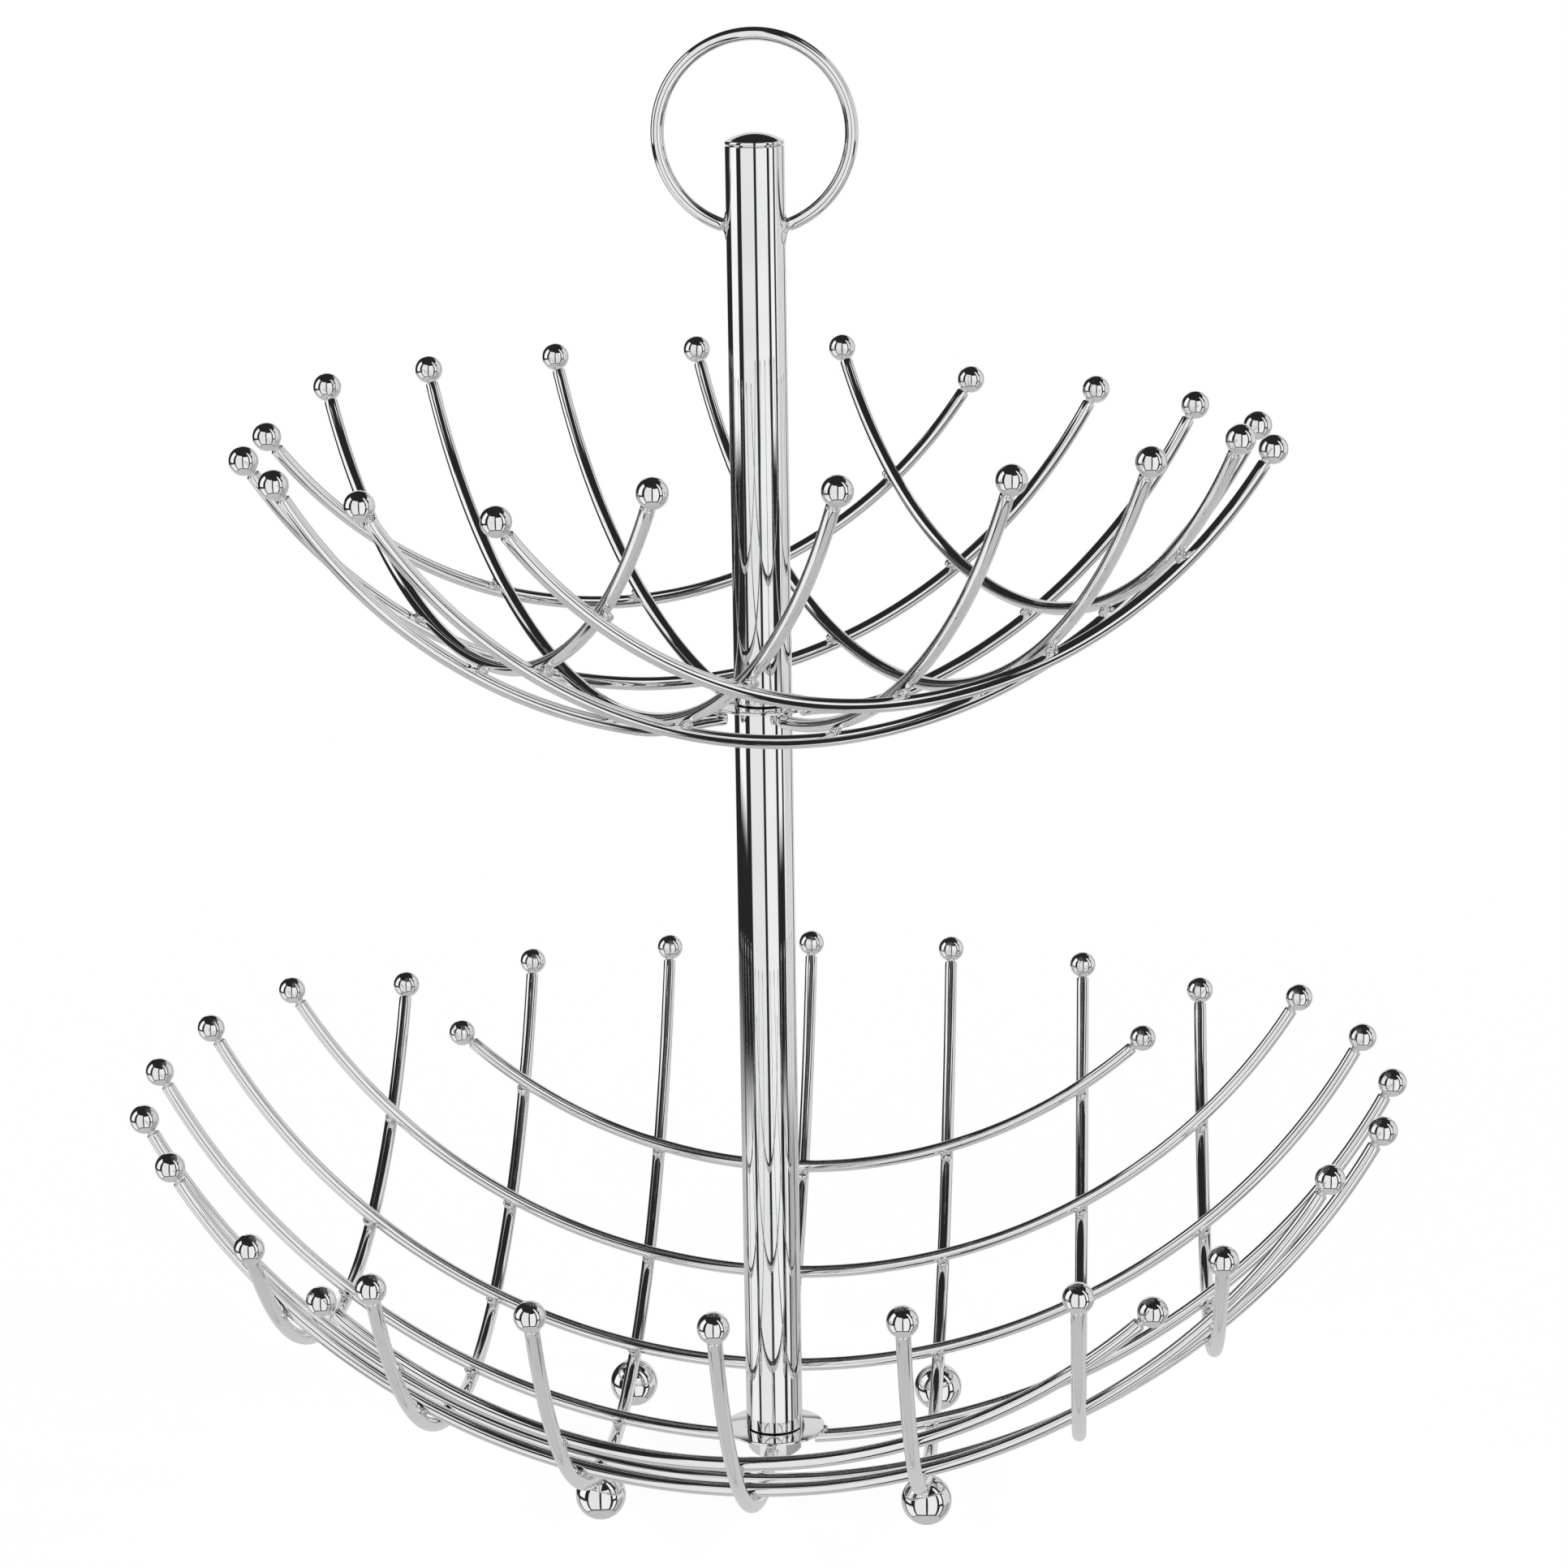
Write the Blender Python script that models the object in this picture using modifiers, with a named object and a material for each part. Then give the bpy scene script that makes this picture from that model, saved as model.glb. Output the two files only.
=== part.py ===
"""Two-tier wire fruit stand in polished chrome, with a ring handle.

Two baskets of bent wire stand one above the other on a column of two tubes.
Each basket is a cage of round wires in two layers: the ribs run underneath
and the cross wires lie on top of them, and every wire ends in a ball. The
middle wires are cut at the column and end under a small hub disc. Studs and
threaded inserts hold the tubes and the discs together inside.

Units are metres, +Z is up, and the origin is on the table under the column.
"""

import math
from typing import NamedTuple

import bmesh
import bpy
from mathutils import Matrix

# Clearances
GAP = 0.0003                    # between two pieces that touch or are welded
RUN = 0.0003                    # between a stud and the hole round it

# Wire
WIRE_DIAMETER = 0.0038
BALL_DIAMETER = 0.0080

# Lower basket
LOWER_RIM_RADIUS = 0.1735       # to the centres of the end balls
LOWER_DEPTH = 0.1075            # from the middle of the cross wires to the rim
LOWER_COUNT = 7                 # wires in each layer
LOWER_RIB_STEP = math.radians(15.1)     # between two rib ends round the rim
LOWER_CROSS_STEP = math.radians(14.5)   # between two cross wire ends
OUTER_CROSS_TRIM = 0.0200       # how much the outermost cross wires stop short

# Upper basket
UPPER_RIM_RADIUS = 0.1385
UPPER_DEPTH = 0.0840
UPPER_COUNT = 5
UPPER_STEP = math.radians(18.3)
UPPER_TURN = math.radians(-59.3)        # of the basket about the column, at rest

# Middle wires, where they meet the hub discs
MIDDLE_WELD = 0.0028            # how far a middle wire reaches under its disc
MIDDLE_STEP_RUN = 0.0260        # length over which a middle rib rises to its disc

# Column
TUBE_DIAMETER = 0.0160
TUBE_WALL = 0.0010
LOWER_TUBE_LENGTH = 0.2101
UPPER_TUBE_LENGTH = 0.1514
DISC_FLANGE = 0.0063            # how far a disc stands out beyond the tube
DISC_THICKNESS = 0.0008
DISC_CHAMFER = 0.0002

# Studs, inserts and nut
STUD_DIAMETER = 0.0080
STUD_END_CHAMFER = 0.0008
STUD_REACH = 0.0160             # of a stud into each insert
INSERT_LENGTH = 0.0200
NUT_ACROSS_FLATS = 0.0130
NUT_HEIGHT = 0.0065
NUT_CHAMFER = 0.0010
STUD_BELOW_NUT = 0.0008

# Feet
FOOT_DIAMETER = 0.0140
FOOT_FLAT_RADIUS = 0.0015       # of the small flat that each foot stands on
FOOT_ALONG = 0.0420             # from the column's axis, along the ribs
SADDLE_DEPTH = 0.0024           # how deep a rib sits in the top of a foot

# Top cap
CAP_RIM_HEIGHT = 0.0010
CAP_RIM_CHAMFER = 0.0003
CAP_DOME_HEIGHT = 0.0022
CAP_SPIGOT_LENGTH = 0.0080

# Ring handle
RING_RADIUS = 0.0260            # of the wire's centreline
RING_WIRE_DIAMETER = 0.0036
RING_RISE = 0.0033              # of the ring's centre above the tube's end

# Facets
WIRE_SPAN = 0.0240              # longest straight stretch of a basket wire
RING_SEGMENTS = 28
ROUND_STEPS = 24
DOME_STEPS = 5
FOOT_STEPS = 16
BALL_STEPS = 8
SHARP_ANGLE = math.radians(35)

# Worked out from the sizes above
WIRE_RADIUS = WIRE_DIAMETER / 2
TUBE_RADIUS = TUBE_DIAMETER / 2
BORE_RADIUS = STUD_DIAMETER / 2 + RUN
FOOT_RADIUS = FOOT_DIAMETER / 2
FOOT_CENTRE = math.sqrt(FOOT_RADIUS ** 2 - FOOT_FLAT_RADIUS ** 2)
LAYER_PITCH = WIRE_DIAMETER + GAP
DISC_RADIUS = TUBE_RADIUS + DISC_FLANGE
MIDDLE_START = DISC_RADIUS - MIDDLE_WELD


class Basket(NamedTuple):
    """Sizes of one basket: its ribs and cross wires lie on concentric spheres."""

    name: str
    rim_radius: float
    depth: float
    count: int
    rib_step: float
    cross_step: float
    cross_trim: float
    turn: float

    @property
    def radius(self):
        """Radius of the sphere that the cross wires' centrelines lie on."""
        return (self.rim_radius ** 2 + self.depth ** 2) / (2 * self.depth)


LOWER = Basket("lower", LOWER_RIM_RADIUS, LOWER_DEPTH, LOWER_COUNT,
               LOWER_RIB_STEP, LOWER_CROSS_STEP, OUTER_CROSS_TRIM, 0.0)
UPPER = Basket("upper", UPPER_RIM_RADIUS, UPPER_DEPTH, UPPER_COUNT,
               UPPER_STEP, UPPER_STEP, 0.0, UPPER_TURN)


def offset(basket, step, index):
    """Distance of a wire from the middle of its layer; index 0 is the middle."""
    return basket.rim_radius * math.sin(index * step)


def rise(radius, x, y):
    """Height of a sphere's surface above its lowest point."""
    return radius - math.sqrt(radius ** 2 - x ** 2 - y ** 2)


def disc_over_base(basket):
    """Height of a disc's underside above the lowest point of the cross wires.

    The disc's edge rests on the middle wires, which have begun to rise there.
    """
    return rise(basket.radius, DISC_RADIUS, 0.0) + WIRE_RADIUS + GAP


# Heights, from the table up
FOOT_ACROSS = offset(LOWER, LOWER_RIB_STEP, 1)
RIB_OVER_FOOT = FOOT_RADIUS + WIRE_RADIUS - SADDLE_DEPTH
RIB_SPHERE = LOWER.radius + LAYER_PITCH
LOWER_BASE = (FOOT_CENTRE + RIB_OVER_FOOT
              - rise(RIB_SPHERE, FOOT_ACROSS, FOOT_ALONG) + LAYER_PITCH)
LOWER_DISC_BOTTOM = LOWER_BASE + disc_over_base(LOWER)
LOWER_TUBE_BOTTOM = LOWER_DISC_BOTTOM + DISC_THICKNESS + GAP
LOWER_TUBE_TOP = LOWER_TUBE_BOTTOM + LOWER_TUBE_LENGTH
UPPER_DISC_BOTTOM = LOWER_TUBE_TOP + GAP
UPPER_BASE = UPPER_DISC_BOTTOM - disc_over_base(UPPER)
UPPER_TUBE_BOTTOM = UPPER_DISC_BOTTOM + DISC_THICKNESS + GAP
UPPER_TUBE_TOP = UPPER_TUBE_BOTTOM + UPPER_TUBE_LENGTH
NUT_TOP = LOWER_DISC_BOTTOM - GAP
NUT_BOTTOM = NUT_TOP - NUT_HEIGHT

CHROME = ("polished_chrome", (0.80, 0.81, 0.82, 1.0), 1.0, 0.06)
ZINC = ("zinc_plate", (0.62, 0.63, 0.64, 1.0), 1.0, 0.32)


def clear_scene():
    """Remove every object that the scene starts with."""
    for item in list(bpy.data.objects):
        bpy.data.objects.remove(item, do_unlink=True)


def new_collection(name):
    """Add a collection to the scene."""
    made = bpy.data.collections.new(name)
    bpy.context.scene.collection.children.link(made)
    return made


def material(node, finish):
    """Make the material of one piece from a finish."""
    name, colour, metallic, roughness = finish
    made = bpy.data.materials.new(f"{node}_{name}")
    made.use_nodes = True
    shader = made.node_tree.nodes["Principled BSDF"]
    shader.inputs["Base Color"].default_value = colour
    shader.inputs["Metallic"].default_value = metallic
    shader.inputs["Roughness"].default_value = roughness
    return made


def add_piece(name, mesh, finish=CHROME, parent=None, height=0.0, turn=0.0):
    """Place a mesh as a piece of the stand, at a height above its parent."""
    piece = bpy.data.objects.new(name, mesh)
    PARTS.objects.link(piece)
    piece.parent = parent
    piece.location = (0.0, 0.0, height)
    piece.rotation_euler = (0.0, 0.0, turn)
    mesh.materials.clear()
    mesh.materials.append(material(name, finish))
    mesh.shade_smooth()
    mesh.set_sharp_from_angle(angle=SHARP_ANGLE)
    return piece


def add_pivot(name, height):
    """Add an empty on the column's axis, which carries the pieces that turn."""
    pivot = bpy.data.objects.new(name, None)
    PARTS.objects.link(pivot)
    pivot.location = (0.0, 0.0, height)
    return pivot


def add_cutter(name, mesh, like=None):
    """Add a hidden shape for a Boolean, placed as the piece that it works on."""
    cutter = bpy.data.objects.new(name, mesh)
    CUTTERS.objects.link(cutter)
    cutter.hide_render = True
    cutter.display_type = "WIRE"
    if like is not None:
        cutter.parent = like.parent
        cutter.location = like.location
        cutter.rotation_euler = like.rotation_euler
    return cutter


def add_boolean(piece, cutter, operation):
    """Join, cut or trim a piece with a cutter."""
    boolean = piece.modifiers.new(f"{operation.lower()}_{cutter.name}", "BOOLEAN")
    boolean.operation = operation
    boolean.solver = "EXACT"
    boolean.object = cutter


def mesh_from_bmesh(name, shape):
    """Turn a bmesh into a mesh and free it."""
    mesh = bpy.data.meshes.new(name)
    shape.to_mesh(mesh)
    shape.free()
    return mesh


def ball_mesh(name, radius, centre):
    """A ball at a point in its piece's own frame."""
    shape = bmesh.new()
    bmesh.ops.create_icosphere(shape, subdivisions=2, radius=radius)
    bmesh.ops.translate(shape, verts=shape.verts, vec=centre)
    return mesh_from_bmesh(name, shape)


def rod_mesh(name, points, radius, resolution):
    """A closed round rod along a line of points, made from a bevelled curve."""
    curve = bpy.data.curves.new(name, "CURVE")
    curve.dimensions = "3D"
    curve.bevel_depth = radius
    curve.bevel_resolution = resolution
    curve.use_fill_caps = True
    spline = curve.splines.new("POLY")
    spline.points.add(len(points) - 1)
    for vertex, point in zip(spline.points, points):
        vertex.co = (*point, 1.0)
    guide = bpy.data.objects.new(name + "_guide", curve)
    CUTTERS.objects.link(guide)
    bpy.context.view_layer.update()
    depsgraph = bpy.context.evaluated_depsgraph_get()
    mesh = bpy.data.meshes.new_from_object(guide.evaluated_get(depsgraph))
    bpy.data.objects.remove(guide, do_unlink=True)
    bpy.data.curves.remove(curve)
    shape = bmesh.new()
    shape.from_mesh(mesh)
    bmesh.ops.remove_doubles(shape, verts=shape.verts, dist=0.00001)
    bmesh.ops.recalc_face_normals(shape, faces=shape.faces)
    shape.to_mesh(mesh)
    shape.free()
    mesh.name = name
    return mesh


def add_turned(name, profile, closed, steps=ROUND_STEPS, **place):
    """Turn a profile of (radius, height) points, top to bottom, about the axis."""
    shape = bmesh.new()
    corners = [shape.verts.new((radius, 0.0, height)) for radius, height in profile]
    for first, second in zip(corners, corners[1:]):
        shape.edges.new((first, second))
    if closed:
        shape.edges.new((corners[-1], corners[0]))
    piece = add_piece(name, mesh_from_bmesh(name, shape), **place)
    screw = piece.modifiers.new("turn", "SCREW")
    screw.axis = "Z"
    screw.steps = steps
    screw.render_steps = steps
    screw.use_merge_vertices = True
    screw.merge_threshold = 0.00001
    screw.use_smooth_shade = True
    return piece


def bowl_point(basket, is_rib, across, along):
    """A point on a wire's centreline, where +X runs along the wire.

    The height counts from the lowest point of the cross wires. A middle rib
    rises from its own layer to the cross wires' layer as it nears the hub.
    """
    if not is_rib:
        return (along, across, rise(basket.radius, along, across))
    height = rise(basket.radius + LAYER_PITCH, along, across) - LAYER_PITCH
    if across == 0.0:
        share = (abs(along) - MIDDLE_START) / MIDDLE_STEP_RUN
        share = min(max(share, 0.0), 1.0)
        height += LAYER_PITCH * (1.0 - share * share * (3.0 - 2.0 * share))
    return (along, across, height)


def stations(start, end, crossings):
    """Places along a wire: its ends, each crossing and even steps between them."""
    fixed = [start] + [place for place in crossings if start < place < end] + [end]
    places = [start]
    for first, second in zip(fixed, fixed[1:]):
        parts = math.ceil((second - first) / WIRE_SPAN)
        places += [first + (second - first) * part / parts
                   for part in range(1, parts + 1)]
    return places


def add_wire(name, basket, is_rib, across, span, ends, place):
    """Add one basket wire with a ball on each of its outer ends.

    Args:
        name: the piece's name.
        basket: the basket that the wire belongs to.
        is_rib: True for the layer underneath.
        across: the wire's distance from the middle of its layer.
        span: the first and last place along the wire.
        ends: the places along the wire that carry a ball.
        place: the parent, height and turn of the piece.
    """
    step = basket.cross_step if is_rib else basket.rib_step
    half = basket.count // 2
    crossings = [offset(basket, step, index) for index in range(-half, half + 1)]
    if across == 0.0:
        crossings = sorted([*crossings, -DISC_RADIUS, DISC_RADIUS])
    points = [bowl_point(basket, is_rib, across, along)
              for along in stations(*span, crossings)]
    wire = add_piece(name, rod_mesh(name, points, WIRE_RADIUS, 1), **place)
    for number, along in enumerate(ends, start=1):
        centre = bowl_point(basket, is_rib, across, along)
        ball = ball_mesh(f"{name}_ball_{number}", BALL_DIAMETER / 2, centre)
        add_boolean(wire, add_cutter(ball.name, ball, wire), "UNION")


def add_layer(basket, is_rib, height, parent, sides):
    """Add a basket's ribs or its cross wires, numbered across the basket.

    The middle wire is cut at the column into two, named with the two sides.
    """
    kind = "rib" if is_rib else "cross_wire"
    step = basket.rib_step if is_rib else basket.cross_step
    turn = basket.turn + (math.pi / 2 if is_rib else 0.0)
    place = {"parent": parent, "height": height, "turn": turn}
    half = basket.count // 2
    for index in range(-half, half + 1):
        name = f"{basket.name}_{kind}_{index + half + 1}"
        across = offset(basket, step, index)
        reach = math.sqrt(basket.rim_radius ** 2 - across ** 2)
        if abs(index) == half and not is_rib:
            reach -= basket.cross_trim
        if index:
            add_wire(name, basket, is_rib, across, (-reach, reach),
                     (-reach, reach), place)
            continue
        add_wire(f"{name}_{sides[0]}", basket, is_rib, across,
                 (-reach, -MIDDLE_START), (-reach,), place)
        add_wire(f"{name}_{sides[1]}", basket, is_rib, across,
                 (MIDDLE_START, reach), (reach,), place)


def add_disc(name, height, parent=None):
    """Add a hub disc, which seats on the ends of the middle wires."""
    top = DISC_THICKNESS
    profile = [(BORE_RADIUS, top), (DISC_RADIUS - DISC_CHAMFER, top),
               (DISC_RADIUS, top - DISC_CHAMFER), (DISC_RADIUS, DISC_CHAMFER),
               (DISC_RADIUS - DISC_CHAMFER, 0.0), (BORE_RADIUS, 0.0)]
    add_turned(name, profile, closed=True, parent=parent, height=height)


def add_tube(name, length, height, parent=None):
    """Add one of the column's tubes, open at both ends."""
    inner = TUBE_RADIUS - TUBE_WALL
    profile = [(inner, length), (TUBE_RADIUS, length), (TUBE_RADIUS, 0.0), (inner, 0.0)]
    add_turned(name, profile, closed=True, parent=parent, height=height)


def add_insert(name, height, parent=None):
    """Add a threaded insert, held in the end of a tube."""
    outer = TUBE_RADIUS - TUBE_WALL - GAP
    profile = [(BORE_RADIUS, INSERT_LENGTH), (outer, INSERT_LENGTH),
               (outer, 0.0), (BORE_RADIUS, 0.0)]
    add_turned(name, profile, closed=True, finish=ZINC, parent=parent, height=height)


def add_stud(name, bottom, top):
    """Add a stud on the column's axis, chamfered at both ends."""
    radius = STUD_DIAMETER / 2
    tip = radius - STUD_END_CHAMFER
    length = top - bottom
    profile = [(0.0, length), (tip, length), (radius, length - STUD_END_CHAMFER),
               (radius, STUD_END_CHAMFER), (tip, 0.0), (0.0, 0.0)]
    add_turned(name, profile, closed=False, steps=24, finish=ZINC, height=bottom)


def add_nut():
    """Add the hexagon nut under the lower disc, a flat to the front, its corners chamfered."""
    corner = NUT_ACROSS_FLATS / math.sqrt(3)
    shape = bmesh.new()
    bmesh.ops.create_cone(shape, cap_ends=True, segments=6, radius1=corner,
                          radius2=corner, depth=NUT_HEIGHT,
                          matrix=Matrix.Rotation(math.pi / 6, 4, "Z"))
    nut = add_piece("base_nut", mesh_from_bmesh("base_nut", shape), ZINC,
                    height=(NUT_TOP + NUT_BOTTOM) / 2)
    half = NUT_HEIGHT / 2
    face = NUT_ACROSS_FLATS / 2
    trim = [(0.0, half + GAP), (face, half + GAP), (corner + GAP, half - NUT_CHAMFER),
            (corner + GAP, NUT_CHAMFER - half), (face, -half - GAP), (0.0, -half - GAP)]
    barrel = add_turned("nut_barrel", trim, closed=False)
    bore = [(0.0, NUT_HEIGHT), (BORE_RADIUS, NUT_HEIGHT),
            (BORE_RADIUS, -NUT_HEIGHT), (0.0, -NUT_HEIGHT)]
    hole = add_turned("nut_hole", bore, closed=False)
    for cutter, operation in ((barrel, "INTERSECT"), (hole, "DIFFERENCE")):
        PARTS.objects.unlink(cutter)
        CUTTERS.objects.link(cutter)
        cutter.hide_render = True
        cutter.display_type = "WIRE"
        cutter.location = nut.location
        add_boolean(nut, cutter, operation)


def add_foot(name, side, end):
    """Add a ball foot under a rib, with a saddle in its top for the rib."""
    lean = math.asin(FOOT_FLAT_RADIUS / FOOT_RADIUS)
    angles = [(math.pi - lean) * step / BALL_STEPS for step in range(BALL_STEPS + 1)]
    profile = [(FOOT_RADIUS * math.sin(angle), FOOT_RADIUS * math.cos(angle))
               for angle in angles] + [(0.0, -FOOT_CENTRE)]
    foot = add_turned(name, profile, closed=False, steps=FOOT_STEPS)
    foot.location = (side * FOOT_ACROSS, end * FOOT_ALONG, FOOT_CENTRE)
    slope = end * FOOT_ALONG / math.sqrt(
        RIB_SPHERE ** 2 - FOOT_ACROSS ** 2 - FOOT_ALONG ** 2)
    points = [(0.0, along, RIB_OVER_FOOT + along * slope)
              for along in (-FOOT_DIAMETER, FOOT_DIAMETER)]
    saddle = rod_mesh(f"{name}_saddle", points, WIRE_RADIUS + GAP, 3)
    add_boolean(foot, add_cutter(saddle.name, saddle, foot), "DIFFERENCE")


def add_cap(parent, height):
    """Add the low domed cap, which plugs the upper tube's end."""
    spigot = TUBE_RADIUS - TUBE_WALL - GAP
    rim_top = GAP + CAP_RIM_HEIGHT
    dome_radius = TUBE_RADIUS - CAP_RIM_CHAMFER
    curve = (dome_radius ** 2 + CAP_DOME_HEIGHT ** 2) / (2 * CAP_DOME_HEIGHT)
    sweep = math.asin(dome_radius / curve)
    profile = []
    for step in range(DOME_STEPS + 1):
        angle = sweep * step / DOME_STEPS
        top = rim_top + CAP_DOME_HEIGHT - curve * (1.0 - math.cos(angle))
        profile.append((curve * math.sin(angle), top))
    profile += [(TUBE_RADIUS, rim_top - CAP_RIM_CHAMFER), (TUBE_RADIUS, GAP),
                (spigot, GAP), (spigot, -CAP_SPIGOT_LENGTH), (0.0, -CAP_SPIGOT_LENGTH)]
    add_turned("top_cap", profile, closed=False, parent=parent, height=height)


def add_ring(parent, height):
    """Add the ring handle: an open ring whose ends meet the tube's two sides."""
    radius = RING_WIRE_DIAMETER / 2
    start = math.asin((TUBE_RADIUS + GAP) / (RING_RADIUS - radius))
    points = []
    for step in range(RING_SEGMENTS + 1):
        angle = start + (2 * math.pi - 2 * start) * step / RING_SEGMENTS
        points.append((RING_RADIUS * math.sin(angle), 0.0, -RING_RADIUS * math.cos(angle)))
    mesh = rod_mesh("ring_handle", points, radius, 2)
    add_piece("ring_handle", mesh, parent=parent, height=height)


def build_lower_basket():
    """Build the lower basket, which stands on its four feet."""
    add_layer(LOWER, False, LOWER_BASE, None, ("left", "right"))
    add_layer(LOWER, True, LOWER_BASE, None, ("front", "back"))
    add_disc("lower_disc", LOWER_DISC_BOTTOM)
    for side, side_name in ((-1, "left"), (1, "right")):
        for end, end_name in ((-1, "front"), (1, "back")):
            add_foot(f"foot_{end_name}_{side_name}", side, end)


def build_lower_column():
    """Build the lower tube with its inserts, the two studs and the nut."""
    add_tube("lower_tube", LOWER_TUBE_LENGTH, LOWER_TUBE_BOTTOM)
    add_insert("lower_tube_bottom_insert", LOWER_TUBE_BOTTOM)
    add_insert("lower_tube_top_insert", LOWER_TUBE_TOP - INSERT_LENGTH)
    add_stud("base_stud", NUT_BOTTOM - STUD_BELOW_NUT, LOWER_TUBE_BOTTOM + STUD_REACH)
    add_stud("joint_stud", LOWER_TUBE_TOP - STUD_REACH, UPPER_TUBE_BOTTOM + STUD_REACH)
    add_nut()


def build_upper_basket():
    """Build the upper basket, which turns about the joint stud."""
    pivot = add_pivot("upper_basket_pivot", UPPER_DISC_BOTTOM)
    drop = UPPER_BASE - UPPER_DISC_BOTTOM
    add_layer(UPPER, False, drop, pivot, ("back", "front"))
    add_layer(UPPER, True, drop, pivot, ("left", "right"))
    add_disc("upper_disc", 0.0, pivot)


def build_handle_column():
    """Build the upper tube with its insert, cap and ring, which unscrew as one."""
    pivot = add_pivot("handle_column_pivot", UPPER_TUBE_BOTTOM)
    add_tube("upper_tube", UPPER_TUBE_LENGTH, 0.0, pivot)
    add_insert("upper_tube_insert", 0.0, pivot)
    add_cap(pivot, UPPER_TUBE_LENGTH)
    add_ring(pivot, UPPER_TUBE_LENGTH + RING_RISE)


clear_scene()
PARTS = new_collection("two_tier_fruit_stand")
CUTTERS = new_collection("cutters")
build_lower_basket()
build_lower_column()
build_upper_basket()
build_handle_column()
bpy.context.view_layer.update()
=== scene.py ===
"""Looks of a two-tier wire fruit stand in bright chrome, built round its frame.

Each basket wire starts as a straight rod with a ball butt-welded to its ends and
is rolled to the bowl. The hub discs, tubes, cap, nut, studs and ball feet are
turned. Small squeezed weld beads sit wherever two pieces are welded together.

Units are metres, +Z is up, and the origin is on the table under the column.
"""

import logging
import math
from collections.abc import Callable, Iterable
from dataclasses import dataclass, field
from enum import Enum

import bmesh
import bpy
from mathutils import Matrix, Vector


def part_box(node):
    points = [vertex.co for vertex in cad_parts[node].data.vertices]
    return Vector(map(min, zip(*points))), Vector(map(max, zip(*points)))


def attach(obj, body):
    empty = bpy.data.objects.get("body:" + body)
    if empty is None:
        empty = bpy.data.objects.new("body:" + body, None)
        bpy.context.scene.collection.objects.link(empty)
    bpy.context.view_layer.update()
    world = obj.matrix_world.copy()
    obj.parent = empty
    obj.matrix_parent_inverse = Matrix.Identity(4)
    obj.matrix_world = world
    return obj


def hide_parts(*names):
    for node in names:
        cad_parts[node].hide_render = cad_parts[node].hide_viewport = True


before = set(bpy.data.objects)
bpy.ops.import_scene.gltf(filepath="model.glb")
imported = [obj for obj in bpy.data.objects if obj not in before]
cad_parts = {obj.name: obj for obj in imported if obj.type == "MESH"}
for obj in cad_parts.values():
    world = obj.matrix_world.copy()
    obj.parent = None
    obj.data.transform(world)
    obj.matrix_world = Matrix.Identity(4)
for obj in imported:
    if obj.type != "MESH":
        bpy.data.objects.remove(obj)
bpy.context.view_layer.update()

LOG = logging.getLogger("fruit_stand")
SHARP_ANGLE = math.radians(32)  # steeper edges stay crisp
MERGE_DISTANCE = 0.000002       # nearer vertices become one
EDGE_STEPS = 5                  # stretches across a rounded edge
LUMPS_PER_METRE = 900.0         # on a weld bead
WAVES_PER_METRE = 160.0         # of the plating's slow swell
NO_HUB = 1.0                    # far outside any rod that no hub lifts
DEEP_MARKS = (0.58, 0.74)       # part of the marks' noise that dulls the plating
HAZY_PATCHES = (0.46, 0.72)     # part of the patches' noise that is hazy
BLANK = "blank"                 # a wire's own coordinates, from before it was rolled
GIRTH = "girth"                 # a rod's radius at each station
FACING = "facing"               # which way a weld bead's flat side faces
SPREAD = "spread"               # a weld bead's size along its own three axes
Profile = list[tuple[float, float]]
Spread = tuple[float, float, float]


class Grain(Enum):
    """Which way a finish's fine polishing marks run."""

    ALONG_WIRE = "along_wire"
    UPRIGHT = "upright"
    ROUND = "round"
    CLOUDY = "cloudy"


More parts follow.
